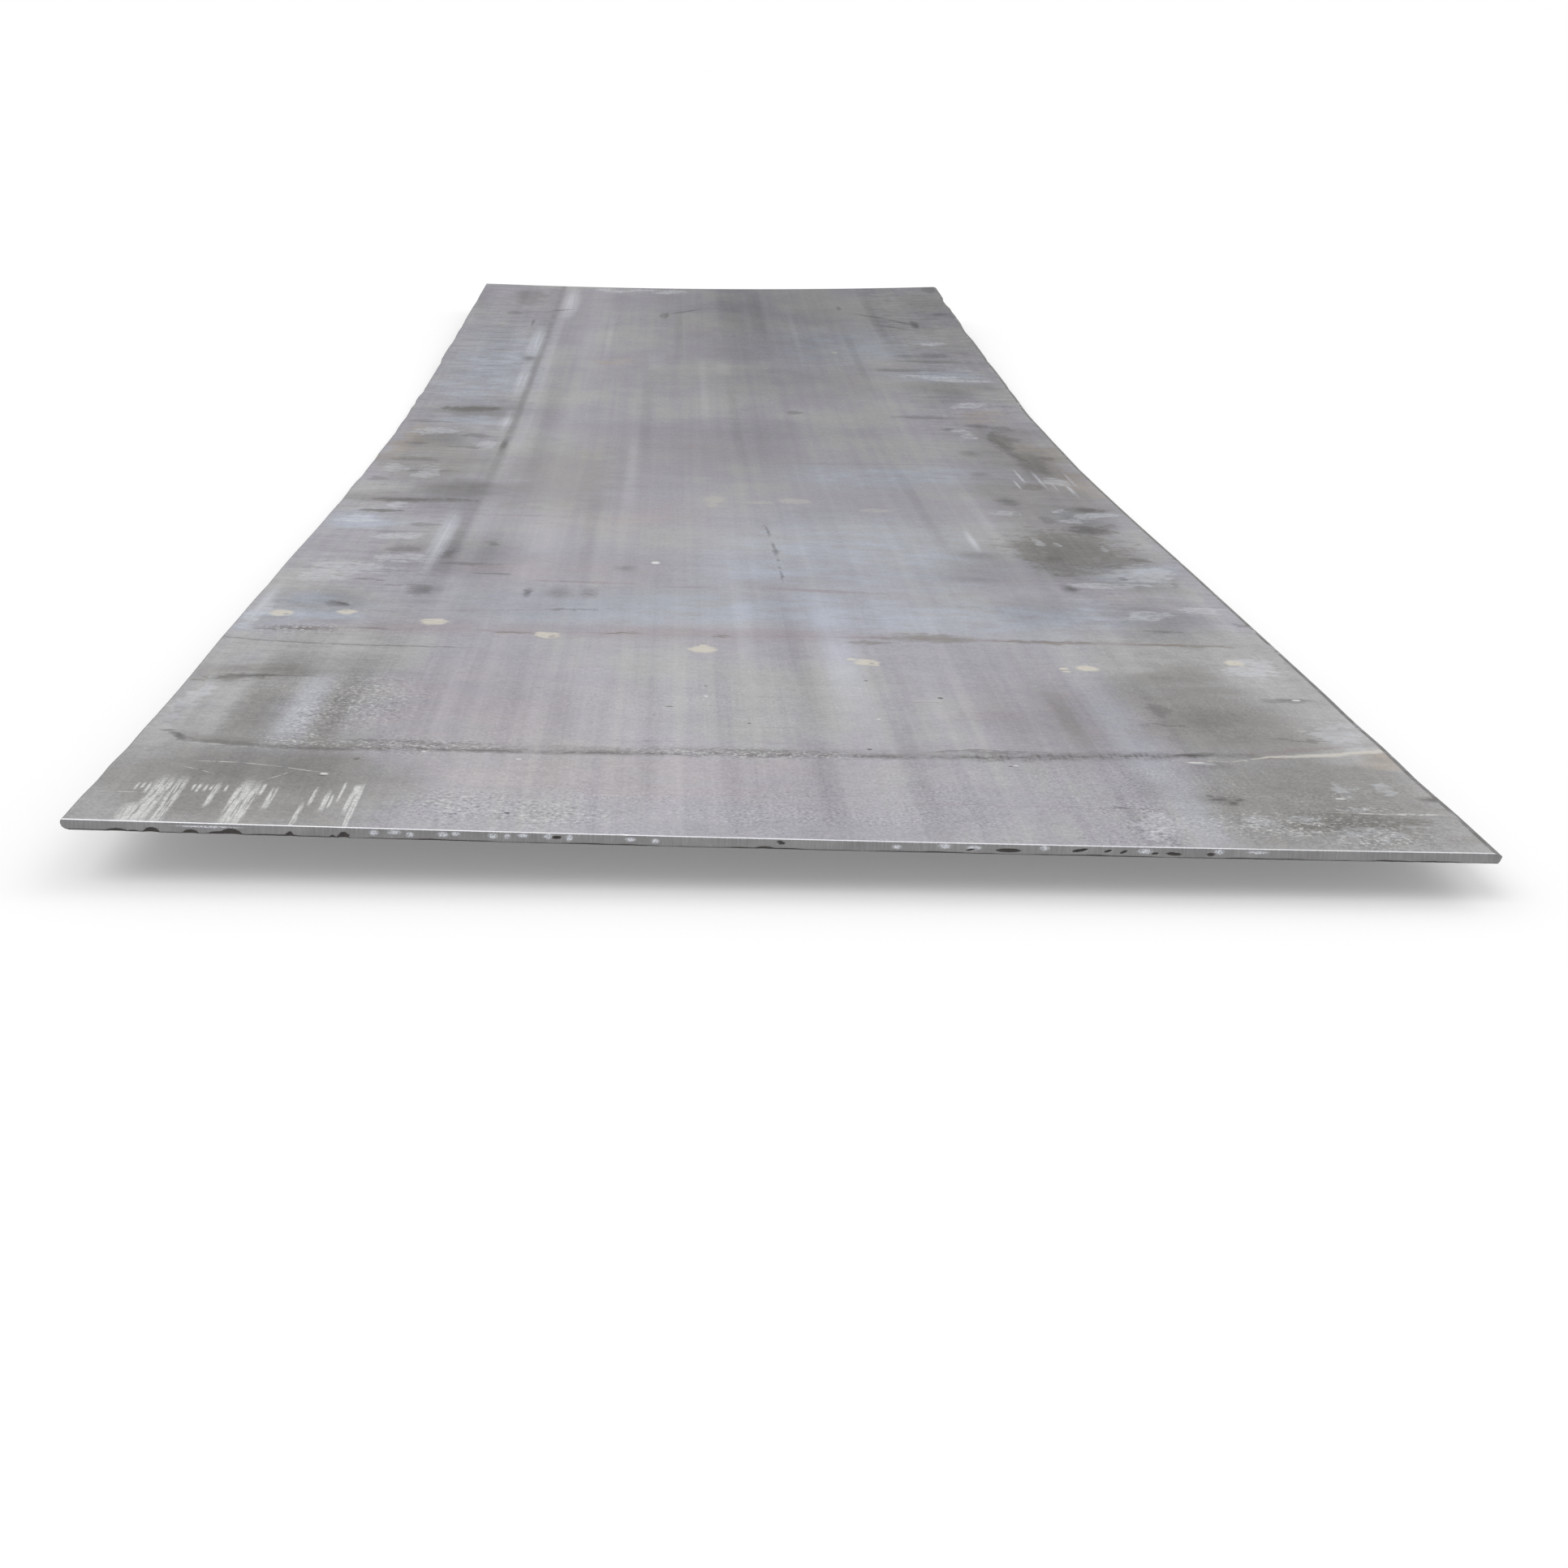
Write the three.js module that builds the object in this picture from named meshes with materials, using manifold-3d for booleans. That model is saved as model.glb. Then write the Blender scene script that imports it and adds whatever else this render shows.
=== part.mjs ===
// A hot-rolled carbon steel plate: one rolled slab of stock with its two long edges left as they came
// off the mill and its two ends cut by a guillotine shear.
//
// Sizes are millimetres and angles degrees. +X runs across the plate, +Y along the rolling direction
// and +Z up. The origin lies under the middle of the plate, on the floor that it rests on.
import * as THREE from "three";
import { mergeVertices } from "three/addons/utils/BufferGeometryUtils.js";
import Module from "manifold-3d";

// The stock, as it is ordered.
const WIDTH = 1500; // over the noses of the two rolled edges
const LENGTH = 6000; // from shear cut to shear cut, along the bowed plate
const THICKNESS = 12;

// The two long edges, as rolled. Each bulges outwards to a blunt nose, and waves in and out along the
// plate, in long shallow dents and a few short ones.
const LEFT_EDGE = {
  topInset: 3, // from the nose in to the corner of the top face
  bottomInset: 9, // from the nose in to the corner of the bottom face
  noseDrop: 4, // how far the nose lies under the top face
  noseFlat: 2.4, // the height of the nose's blunt tip
  fullness: 0.7, // 0 is a straight bevel from a corner to the nose, 1 a square shoulder
  // Each dent's middle, its length along the plate, and how far it lies in.
  dents: [
    { fromFront: 160, length: 140, depth: 1.6 },
    { fromFront: 310, length: 180, depth: 1.8 },
    { fromFront: 560, length: 980, depth: 4 },
    { fromFront: 1060, length: 160, depth: 1.2 },
    { fromFront: 1350, length: 260, depth: 1.3 },
    { fromFront: 1950, length: 800, depth: 2.4 },
    { fromFront: 2240, length: 420, depth: 2.6 },
    { fromFront: 2540, length: 280, depth: 3 },
    { fromFront: 2740, length: 170, depth: 2.4 },
    { fromFront: 3130, length: 320, depth: 3.2 },
    { fromFront: 3400, length: 300, depth: 2.6 },
    { fromFront: 3590, length: 130, depth: 2.8 },
    { fromFront: 3770, length: 140, depth: 3 },
    { fromFront: 3900, length: 440, depth: 4.2 },
    { fromFront: 4100, length: 320, depth: 4 },
    { fromFront: 4250, length: 240, depth: 4.6 },
    { fromFront: 4700, length: 360, depth: 2.8 },
    { fromFront: 4990, length: 300, depth: 2 },
    { fromFront: 5560, length: 300, depth: 1.6 },
  ],
};
const RIGHT_EDGE = {
  topInset: 10,
  bottomInset: 4,
  noseDrop: 3.8,
  noseFlat: 0.8,
  fullness: 0.25,
  dents: [
    { fromFront: 300, length: 300, depth: 2.6 },
    { fromFront: 590, length: 320, depth: 1.8 },
    { fromFront: 2200, length: 1300, depth: 2.2 },
    { fromFront: 2840, length: 220, depth: 1.6 },
    { fromFront: 3680, length: 640, depth: 3.6 },
    { fromFront: 4010, length: 240, depth: 2.6 },
    { fromFront: 4490, length: 200, depth: 2.8 },
    { fromFront: 5060, length: 380, depth: 4.6 },
    { fromFront: 5470, length: 140, depth: 1.6 },
    { fromFront: 5660, length: 240, depth: 7 },
  ],
};

// The bow. The belly lies flat on the floor and the two ends rise from it, each by one gentle bend
// and a straight leg. At the end of the leg a twist lifts one corner and lowers the other, and a cup
// lifts both corners over the middle.
const BELLY_LENGTH = 300;
const CUP_REACH = 1800; // how far a cup runs in from its end

// The sheared ends. The blade leaves a smooth cut face, and under it the steel has torn away along a
// wavy line, back from the cut face.
const BREAK_HEIGHT = 2.1; // from the bottom face up to the torn line
const BREAK_WAVE = 0.45; // how far the line wanders up and down
const BREAK_WAVELENGTHS = [171, 53, 29];
const BREAK_LEAN = 24; // the torn face's angle to the cut face
const ARRIS = 0.8; // the blunted edge between the cut face and the top face

const FRONT_END = {
  bendLength: 260,
  riseAngle: 1.1,
  twist: -15, // the right corner's height over the left one's
  cup: 3,
  // Where a chip broke out above the torn line: how far its middle lies from the plate's left edge,
  // its width, and its height over the bottom face.
  chips: [
    { fromLeft: 57, width: 25, height: 4.4 },
    { fromLeft: 74, width: 13, height: 3.2 },
    { fromLeft: 92, width: 16, height: 6.6 },
    { fromLeft: 132, width: 17, height: 5.4 },
    { fromLeft: 160, width: 24, height: 4.2 },
    { fromLeft: 173, width: 23, height: 7.4 },
    { fromLeft: 233, width: 8, height: 6.2 },
    { fromLeft: 277, width: 7, height: 4.2 },
    { fromLeft: 288, width: 12, height: 7.6 },
    { fromLeft: 722, width: 23, height: 4 },
    { fromLeft: 1376, width: 30, height: 3 },
    { fromLeft: 1427, width: 12, height: 3 },
  ],
  // Where the blade gouged the cut face: how far the gouge's middle lies from the left edge and up
  // from the bottom face, its width, height and depth, and how far its right end is turned up.
  gouges: [
    { fromLeft: 507, up: 7, width: 9, height: 3.4, depth: 1.2, turn: 0 },
    { fromLeft: 739, up: 7.5, width: 8, height: 4.2, depth: 0.9, turn: -20 },
    { fromLeft: 937, up: 4.6, width: 9, height: 2.6, depth: 0.9, turn: 10 },
    { fromLeft: 977, up: 4.6, width: 30, height: 4.4, depth: 1.1, turn: 0 },
    { fromLeft: 1052, up: 6.4, width: 17, height: 2.8, depth: 1.5, turn: 10 },
    { fromLeft: 1082, up: 6.4, width: 8, height: 2.4, depth: 1.1, turn: 20 },
    { fromLeft: 1098, up: 5.6, width: 8, height: 2.4, depth: 1, turn: 25 },
    { fromLeft: 1131, up: 4.6, width: 7, height: 2.6, depth: 0.9, turn: 0 },
    { fromLeft: 1151, up: 4.5, width: 18, height: 3.6, depth: 1.1, turn: -4 },
    { fromLeft: 1190, up: 4.6, width: 11, height: 4.4, depth: 0.7, turn: 0 },
  ],
  // Where the arris is nicked, and how much deeper a nick goes than the arris.
  nicks: [
    { fromLeft: 573, width: 13, depth: 1.3 },
    { fromLeft: 696, width: 30, depth: 0.5 },
  ],
};
const REAR_END = {
  bendLength: 600,
  riseAngle: 1.8,
  twist: 26,
  cup: 12.5,
  chips: [
    { fromLeft: 268, width: 18, height: 5.2 },
    { fromLeft: 590, width: 12, height: 4 },
    { fromLeft: 1015, width: 26, height: 4.6 },
    { fromLeft: 1322, width: 15, height: 6 },
  ],
  gouges: [
    { fromLeft: 402, up: 6.5, width: 12, height: 3, depth: 1, turn: -12 },
    { fromLeft: 846, up: 6, width: 9, height: 3.2, depth: 1.1, turn: 15 },
  ],
  nicks: [{ fromLeft: 630, width: 16, depth: 1 }],
};

// How finely the faces are divided to follow their curves.
const STATION_PITCH = 80; // along the plate
const SHORT_DENT = 150; // a dent up to this length gets stations of its own
const COLUMN_PITCH = 190; // across it
const BREAK_PITCH = 10; // along the torn line
const EDGE_STEPS = 3; // round each half of a rolled edge
const ARCH_SHARES = [-1, -0.9, -0.5, 0, 0.5, 0.9, 1]; // the points of a chip or a nick, in half widths
const DENT_SHARES = [-1, -0.5, 0, 0.5, 1]; // the stations of a short dent, in half lengths
const GOUGE_SEGMENTS = 10;

const STEEL = { color: 0xa09fa3, roughness: 0.62, metalness: 0.75 };

const HALF_WIDTH = WIDTH / 2;
const HALF_LENGTH = LENGTH / 2;
const HALF_BELLY = BELLY_LENGTH / 2;
const OVERCUT = 2; // how far a cutter reaches past the faces that it cuts
const NEARBY = 1e-3; // closer than this, two points are one
const CLOSE_PLACES = 0.4; // closer than this, two places across an end are one
const CLOSE_STATIONS = 8; // and two stations along the plate
const RAW_END = 10; // how much longer the plate is rolled at each end, for the shear to take off

// One rolled edge in the plate's cross-section, from its bottom corner round the nose to its top
// corner. outward is -1 for the left edge and 1 for the right.
function rolledEdge(outward, { topInset, bottomInset, noseDrop, noseFlat, fullness }) {
  const curve = (inset, cornerUp, noseUp) => {
    const corner = new THREE.Vector2(outward * (HALF_WIDTH - inset), cornerUp);
    const nose = new THREE.Vector2(outward * HALF_WIDTH, noseUp);
    const shoulder = new THREE.Vector2(nose.x, corner.y);
    const bevel = corner.clone().lerp(nose, 0.5);
    return new THREE.QuadraticBezierCurve(corner, bevel.lerp(shoulder, fullness), nose);
  };
  const noseUp = THICKNESS - noseDrop;
  const under = curve(bottomInset, 0, noseUp - noseFlat / 2);
  const over = curve(topInset, THICKNESS, noseUp + noseFlat / 2);
  return [...under.getPoints(EDGE_STEPS), ...over.getPoints(EDGE_STEPS).reverse()];
}

// The plate's cross-section, x across and y up from the bottom face. The flat faces have a point for
// each column, so that they can be warped.
function crossSection() {
  const right = rolledEdge(1, RIGHT_EDGE);
  const left = rolledEdge(-1, LEFT_EDGE).reverse();
  const top = columnsBetween(right.at(-1), left[0]);
  const bottom = columnsBetween(left.at(-1), right[0]);
  return new THREE.Shape([...right, ...top, ...left, ...bottom]);
}

// The points between two corners of a flat face, without the corners themselves.
function columnsBetween(start, end) {
  const count = Math.ceil(start.distanceTo(end) / COLUMN_PITCH);
  return Array.from({ length: count - 1 }, (_, i) => start.clone().lerp(end, (i + 1) / count));
}

// The end of the plate that a place along it belongs to.
function nearerEnd(along) {
  return along < 0 ? FRONT_END : REAR_END;
}

// The height and slope of a bowed end at a distance from the belly, and how far it has run.
function leg(distance, bendLength, riseAngle) {
  const radius = bendLength / THREE.MathUtils.degToRad(riseAngle);
  const bent = THREE.MathUtils.clamp(distance, 0, bendLength);
  const slope = bent / radius;
  const straight = distance - bent;
  return {
    run: radius * Math.sin(slope) + straight * Math.cos(slope),
    rise: radius * (1 - Math.cos(slope)) + straight * Math.sin(slope),
    slope,
  };
}

// The bottom face's middle line at a distance along the plate from its mid-length.
function middleLine(along) {
  const side = along < 0 ? -1 : 1;
  const { bendLength, riseAngle } = nearerEnd(along);
  const { run, rise, slope } = leg(Math.abs(along) - HALF_BELLY, bendLength, riseAngle);
  return { y: side * (HALF_BELLY + run), z: rise, slope: side * slope };
}

// How far the twist and the cup lift the plate at a place on it.
function warp(across, along) {
  const { twist, cup } = nearerEnd(along);
  const side = across / HALF_WIDTH;
  const outFromBelly = Math.max(0, Math.abs(along) - HALF_BELLY) / (HALF_LENGTH - HALF_BELLY);
  const intoCup = Math.max(0, Math.abs(along) - HALF_LENGTH + CUP_REACH) / CUP_REACH;
  return (side * outFromBelly ** 2 * twist) / 2 + side ** 2 * intoCup ** 2 * cup;
}

// How far a dent in the nearer rolled edge shifts a place on the plate across it.
function dentShift(across, along) {
  const { dents } = across < 0 ? LEFT_EDGE : RIGHT_EDGE;
  const inward = dents.map(({ fromFront, length, depth }) => {
    const share = THREE.MathUtils.clamp((along + HALF_LENGTH - fromFront) / (length / 2), -1, 1);
    return (depth * (1 + Math.cos(Math.PI * share))) / 2;
  });
  return -((across / HALF_WIDTH) ** 3) * inward.reduce((sum, one) => sum + one);
}

// Puts a point of the flat plate where the bowed and warped plate has it. The flat plate's points are
// given across it, along it from mid-length, and up from its bottom face.
function bowed(across, along, up) {
  const { y, z, slope } = middleLine(along);
  return new THREE.Vector3(
    across + dentShift(across, along),
    y - up * Math.sin(slope),
    z + up * Math.cos(slope) + warp(across, along),
  );
}

// Moves each vertex of a geometry to the place that a function gives for it.
function reshape(geometry, place) {
  const position = geometry.getAttribute("position");
  for (let i = 0; i < position.count; i++) {
    const moved = place(position.getX(i), position.getY(i), position.getZ(i));
    position.setXYZ(i, moved.x, moved.y, moved.z);
  }
  return geometry;
}

// Extrudes a cross-section one unit for each step, so that a ring's z is its number.
function extrudeRings(shape, steps) {
  return new THREE.ExtrudeGeometry(shape, { depth: steps, steps, bevelEnabled: false });
}

// Evenly spaced places from start up to end, at most a pitch apart, without the end itself.
function divide(start, end, pitch) {
  const count = Math.max(1, Math.ceil((end - start) / pitch));
  return Array.from({ length: count }, (_, i) => THREE.MathUtils.lerp(start, end, i / count));
}

// Places in order, without those that all but coincide with the one before.
function inOrder(places, closest) {
  const sorted = places.toSorted((a, b) => a - b);
  return sorted.filter((place, i) => i === 0 || place - sorted[i - 1] > closest);
}

// The places along the plate where its faces are divided. They all lie on the plate, also where it is
// cut so short that it ends before a dent.
function stations() {
  const rawEnd = HALF_LENGTH + RAW_END;
  const even = [
    ...divide(-rawEnd, -HALF_BELLY, STATION_PITCH),
    ...divide(-HALF_BELLY, HALF_BELLY, BELLY_LENGTH),
    ...divide(HALF_BELLY, rawEnd, STATION_PITCH),
    rawEnd,
  ];
  const dents = [...LEFT_EDGE.dents, ...RIGHT_EDGE.dents];
  const extra = dents
    .filter(({ length }) => length <= SHORT_DENT)
    .flatMap(({ fromFront, length }) =>
      DENT_SHARES.map((share) => fromFront - HALF_LENGTH + (share * length) / 2),
    )
    .filter((place) => Math.abs(place) < HALF_LENGTH);
  return inOrder([...even, ...extra], CLOSE_STATIONS);
}

// The plate before it is sheared, from its rear end to its front end.
function rolledPlate() {
  const places = stations().reverse();
  const rings = extrudeRings(crossSection(), places.length - 1);
  return reshape(rings, (across, up, ring) => bowed(across, places[Math.round(ring)], up));
}

// The height of a round arch at a place across the plate, or nothing beside the arch.
function archHeight(across, { fromLeft, width }, height) {
  const share = (across + HALF_WIDTH - fromLeft) / (width / 2);
  return Math.abs(share) < 1 ? height * Math.sqrt(1 - share ** 2) : 0;
}

// The torn line's height over the bottom face.
function tornLine(across, chips) {
  const waves = BREAK_WAVELENGTHS.map(
    (wavelength, n) => Math.sin((2 * Math.PI * (across + HALF_WIDTH)) / wavelength + n) / (n + 1),
  );
  const line = BREAK_HEIGHT + BREAK_WAVE * waves.reduce((sum, wave) => sum + wave);
  return Math.max(line, ...chips.map((chip) => archHeight(across, chip, chip.height)));
}

// How deep the arris is.
function arrisDepth(across, nicks) {
  return ARRIS + Math.max(0, ...nicks.map((nick) => archHeight(across, nick, nick.depth)));
}

// The places across an end where its profile changes: evenly spaced ones, and more at each chip and
// nick. Places that all but coincide are left out.
function profilePlaces(marks) {
  const reach = HALF_WIDTH + OVERCUT;
  const even = [...divide(-reach, reach, BREAK_PITCH), reach];
  const extra = marks.flatMap(({ fromLeft, width }) =>
    ARCH_SHARES.map((share) => fromLeft - HALF_WIDTH + (share * width) / 2),
  );
  return inOrder([...even, ...extra], CLOSE_PLACES);
}

// What the shear takes off one end: the raw end, the steel that tore away under the cut face, and the
// sharp edge over it. side is -1 for the front and 1 for the rear. The profile's corners are given as
// how far they lie out from the end and up from the bottom face.
function shearedOff(side, { cup, chips, nicks }) {
  const far = RAW_END + OVERCUT;
  const below = -OVERCUT - cup;
  const above = THICKNESS - below;
  const lean = Math.tan(THREE.MathUtils.degToRad(BREAK_LEAN));
  const profile = (tornUp, arris) => [
    new THREE.Vector2(far, below),
    new THREE.Vector2(far, above),
    new THREE.Vector2(THICKNESS - arris - above, above),
    new THREE.Vector2(0, THICKNESS - arris),
    new THREE.Vector2(0, tornUp),
    new THREE.Vector2(-lean * (tornUp - below), below),
  ];
  const plain = profile(BREAK_HEIGHT, ARRIS);
  const places = profilePlaces([...chips, ...nicks]);
  const rings = extrudeRings(new THREE.Shape(plain), places.length - 1);
  return reshape(rings, (out, up, ring) => {
    const across = side < 0 ? places.at(-1 - Math.round(ring)) : places[Math.round(ring)];
    const here = new THREE.Vector2(out, up);
    const corner = plain.findIndex((point) => point.distanceTo(here) < NEARBY);
    const moved = profile(tornLine(across, chips), arrisDepth(across, nicks))[corner];
    return bowed(across, side * (HALF_LENGTH + moved.x), moved.y);
  });
}

// The steel that one gouge takes out of a cut face: an ellipsoid whose middle lies on the face.
function gouged(side, { fromLeft, up, width, height, depth, turn }) {
  const ellipsoid = new THREE.SphereGeometry(1, GOUGE_SEGMENTS, GOUGE_SEGMENTS / 2);
  ellipsoid.scale(width / 2, depth, height / 2);
  ellipsoid.rotateY(-THREE.MathUtils.degToRad(turn));
  return reshape(ellipsoid, (x, y, z) =>
    bowed(fromLeft - HALF_WIDTH + x, side * HALF_LENGTH + y, up + z),
  );
}

// A closed geometry as a solid that can be cut.
function toSolid(wasm, geometry) {
  geometry.deleteAttribute("normal");
  geometry.deleteAttribute("uv");
  const merged = mergeVertices(geometry, NEARBY);
  return new wasm.Manifold(
    new wasm.Mesh({
      numProp: 3,
      vertProperties: new Float32Array(merged.getAttribute("position").array),
      triVerts: new Uint32Array(merged.index.array),
    }),
  );
}

// A cut solid as a geometry again.
function toGeometry(solid) {
  const { vertProperties, triVerts } = solid.getMesh();
  const geometry = new THREE.BufferGeometry();
  geometry.setAttribute("position", new THREE.BufferAttribute(vertProperties, 3));
  geometry.setIndex(new THREE.BufferAttribute(triVerts, 1));
  geometry.computeVertexNormals();
  return geometry;
}

const wasm = await Module();
wasm.setup();

const taken = [
  shearedOff(-1, FRONT_END),
  shearedOff(1, REAR_END),
  ...FRONT_END.gouges.map((gouge) => gouged(-1, gouge)),
  ...REAR_END.gouges.map((gouge) => gouged(1, gouge)),
];
const plate = taken.reduce(
  (solid, piece) => solid.subtract(toSolid(wasm, piece)),
  toSolid(wasm, rolledPlate()),
);

const steelPlate = new THREE.Mesh(toGeometry(plate), new THREE.MeshStandardMaterial(STEEL));
steelPlate.name = "steel_plate";

const part = new THREE.Group();
part.add(steelPlate);

export default part;
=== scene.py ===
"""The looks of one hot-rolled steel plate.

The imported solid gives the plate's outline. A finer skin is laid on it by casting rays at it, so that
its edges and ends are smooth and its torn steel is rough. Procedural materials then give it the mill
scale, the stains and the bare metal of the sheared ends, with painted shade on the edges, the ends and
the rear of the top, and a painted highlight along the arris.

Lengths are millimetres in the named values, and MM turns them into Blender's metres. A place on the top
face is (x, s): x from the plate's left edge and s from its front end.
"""
import math
from functools import partialmethod

import bmesh
import bpy
import numpy as np
from mathutils import Matrix, Vector, noise
from mathutils.bvhtree import BVHTree


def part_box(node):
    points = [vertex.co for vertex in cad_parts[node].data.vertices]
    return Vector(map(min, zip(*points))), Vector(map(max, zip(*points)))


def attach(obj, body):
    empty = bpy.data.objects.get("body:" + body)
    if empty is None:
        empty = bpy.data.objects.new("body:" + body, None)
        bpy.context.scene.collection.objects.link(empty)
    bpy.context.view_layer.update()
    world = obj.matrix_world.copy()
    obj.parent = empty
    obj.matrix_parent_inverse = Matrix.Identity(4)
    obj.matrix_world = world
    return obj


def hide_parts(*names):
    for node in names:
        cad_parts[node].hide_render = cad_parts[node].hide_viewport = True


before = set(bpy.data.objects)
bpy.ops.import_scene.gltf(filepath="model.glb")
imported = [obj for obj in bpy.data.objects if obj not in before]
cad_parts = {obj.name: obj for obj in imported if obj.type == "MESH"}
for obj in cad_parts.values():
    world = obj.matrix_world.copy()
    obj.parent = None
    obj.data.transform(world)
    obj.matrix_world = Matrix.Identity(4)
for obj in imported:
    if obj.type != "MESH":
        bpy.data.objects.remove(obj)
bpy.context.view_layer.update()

MM = 0.001
NODE = "steel_plate"
LOW, HIGH = (np.array(corner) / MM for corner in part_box(NODE))
WIDTH = HIGH[0] - LOW[0]
HALF_WIDTH = WIDTH / 2
FRONT, REAR = LOW[1], HIGH[1]
LENGTH = REAR - FRONT

# ---- The skin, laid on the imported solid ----
HEIGHT_PITCH = 25.0  # between the places where the heights of the flat faces are taken
EDGE_MARGIN = 22.0  # how far in from a rolled edge the faces are surely flat
END_MARGIN = 8.0  # and how far in from a sheared end
SLIP_STEP = 0.02  # how far towards mid-thickness a ray that missed an end is moved, as a share
SLIP_TRIES = 60  # and how often
SMOOTHING = 6  # passes that even out the solid's facets

COLUMN_PITCH = 30.0  # across the top and bottom faces
STATION_PITCH = 16.0  # along them
END_COLUMN_PITCH = 2.8  # across the sheared ends
SECTION_ROWS = 16  # up the cut faces and the rolled edges
BAND = (1.0, 2.2, 4.0, 7.0, 11.0, 17.0, 26.0)  # the fine rows' distances in from a sheared end
BAND_REACH = 45.0  # where the coarse rows begin
SKIN = 0.12  # how far from its corners a section's first and last rows lie
CUT_SLACK = 0.25  # a cut face leans and waves by this much, and what lies deeper is torn
TEAR_DEPTH = 0.7  # the roughness of torn steel, and the size of its lumps
TEAR_WIDTH = 5.5
TEAR_HEIGHT = 3.0
ARRIS_SHARE = 0.9  # above this share of the thickness an end belongs to its arris
FAR = 400.0  # how far outside the solid a ray starts

SHARP_ANGLE = 32  # degrees: edges that turn more than this stay sharp

# The map for baking, in shares of its width: the sizes of the top's and the underside's tiles, and
# where the strips of the edges and ends start, how far apart they lie and how wide each is.
TILE = 1500.0  # the length of plate in a tile
TILE_MARGIN = 20.0  # what a tile shows past its outline
TOP_TILE, UNDERSIDE_TILE = 0.4, 0.2
EDGE_STRIPS, EDGE_PITCH, EDGE_STRIP = 0.81, 0.04, 0.03
END_STRIPS, END_PITCH, END_STRIP = 0.90, 0.05, 0.04

# The top face's stretches, from the front end. Each has a material of its own, with the same looks
# but only those marks that can reach it, because a mark costs render time all over its material.
STRETCHES = (0.0, 450.0, 1100.0, 2500.0, math.inf)
WANDER = 180.0  # how far a mark's outline may stray lengthwise


def solid_tree():
    """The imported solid, for casting rays at."""
    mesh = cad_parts[NODE].data
    mesh.calc_loop_triangles()
    corners = [v.co / MM for v in mesh.vertices]
    return BVHTree.FromPolygons(corners, [t.vertices[:] for t in mesh.loop_triangles])


TREE = solid_tree()


def cast(start, direction):
    """The place where a ray first meets the solid."""
    return TREE.ray_cast(Vector(start), Vector(direction))[0]


def spaced(start, stop, pitch):
    """Evenly spaced places from start to stop, at most a pitch apart."""
    return np.linspace(start, stop, max(2, math.ceil(abs(stop - start) / pitch) + 1))


def smoothed(values, axis):
    """Averages each value with its neighbours along an axis, and keeps the first and the last."""
    values = np.moveaxis(values, axis, 0)
    middle = (values[:-2] + 2 * values[1:-1] + values[2:]) / 4
    return np.moveaxis(np.concatenate([values[:1], middle, values[-1:]]), 0, axis)


class FlatFace:
    """The top face (up = 1) or the bottom face (up = -1) as a smooth sheet, which runs on straight past
    the plate's edges and ends."""

    def __init__(self, up):
        self.xs = spaced(EDGE_MARGIN - HALF_WIDTH, HALF_WIDTH - EDGE_MARGIN, HEIGHT_PITCH)
        self.ys = spaced(FRONT + END_MARGIN, REAR - END_MARGIN, HEIGHT_PITCH)
        self.z = np.array([[cast((x, y, up * FAR), (0, 0, -up)).z for y in self.ys] for x in self.xs])
        for _ in range(SMOOTHING):
            self.z = smoothed(smoothed(self.z, 0), 1)

    def height(self, x, y):
        column, across = self.cell(self.xs, x)
        station, along = self.cell(self.ys, y)
        near = self.z[column, station] * (1 - across) + self.z[column + 1, station] * across
        beyond = self.z[column, station + 1] * (1 - across) + self.z[column + 1, station + 1] * across
        return near * (1 - along) + beyond * along

    @staticmethod
    def cell(places, value):
        steps = (np.asarray(value, float) - places[0]) / (places[1] - places[0])
        index = np.clip(np.floor(steps), 0, len(places) - 2).astype(int)
        return index, steps - index


TOP, BOTTOM = FlatFace(1), FlatFace(-1)
THICKNESS = float(TOP.height(0, 0) - BOTTOM.height(0, 0))


def row_shares():
    """The heights of a section's rows, as shares of the thickness, closer together near its corners."""
    turns = np.linspace(0, math.pi, SECTION_ROWS + 1)
    shares = ((1 - np.cos(turns)) / 2 + np.linspace(0, 1, SECTION_ROWS + 1)) / 2
    margin = SKIN / THICKNESS
    return margin + shares * (1 - 2 * margin)


SHARES = row_shares()


def row_height(share, x, y):
    """The height of a section's row over a place on the plate."""
    low, high = BOTTOM.height(x, y), TOP.height(x, y)
    return low + share * (high - low)


def edge_x(side, share, y):
    """Where a row meets a rolled edge. side is -1 for the left edge and 1 for the right."""
    near, far = side * (HALF_WIDTH - EDGE_MARGIN), side * (HALF_WIDTH + EDGE_MARGIN)
    start, aim = row_height(share, far, y), row_height(share, near, y)
    return cast((far, y, start), Vector((near - far, 0, aim - start)).normalized()).x


def end_y(end, share, x):
    """Where a row meets a sheared end. end is -1 for the front and 1 for the rear. A ray that slips
    past the end's corner is cast again, a little nearer to mid-thickness, until it meets the end."""
    outline = REAR if end > 0 else FRONT
    near, far = outline - end * END_MARGIN, outline + end * END_MARGIN
    for _ in range(SLIP_TRIES):
        start, aim = row_height(share, x, far), row_height(share, x, near)
        hit = cast((x, far, start), Vector((0, near - far, aim - start)).normalized())
        if hit is not None and (hit.y - near) * end > 0:
            return hit.y
        share += (0.5 - share) * SLIP_STEP
    return outline


def side_xs(y_rows):
    """The x of each row on the left and right edges. y_rows gives each row's y on either side."""
    return [
        np.array([edge_x(side, share, y) for share, y in zip(SHARES, rows)])
        for side, rows in zip((-1, 1), y_rows)
    ]


ZONES = ("top", "underside", "edge", "end")


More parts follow.
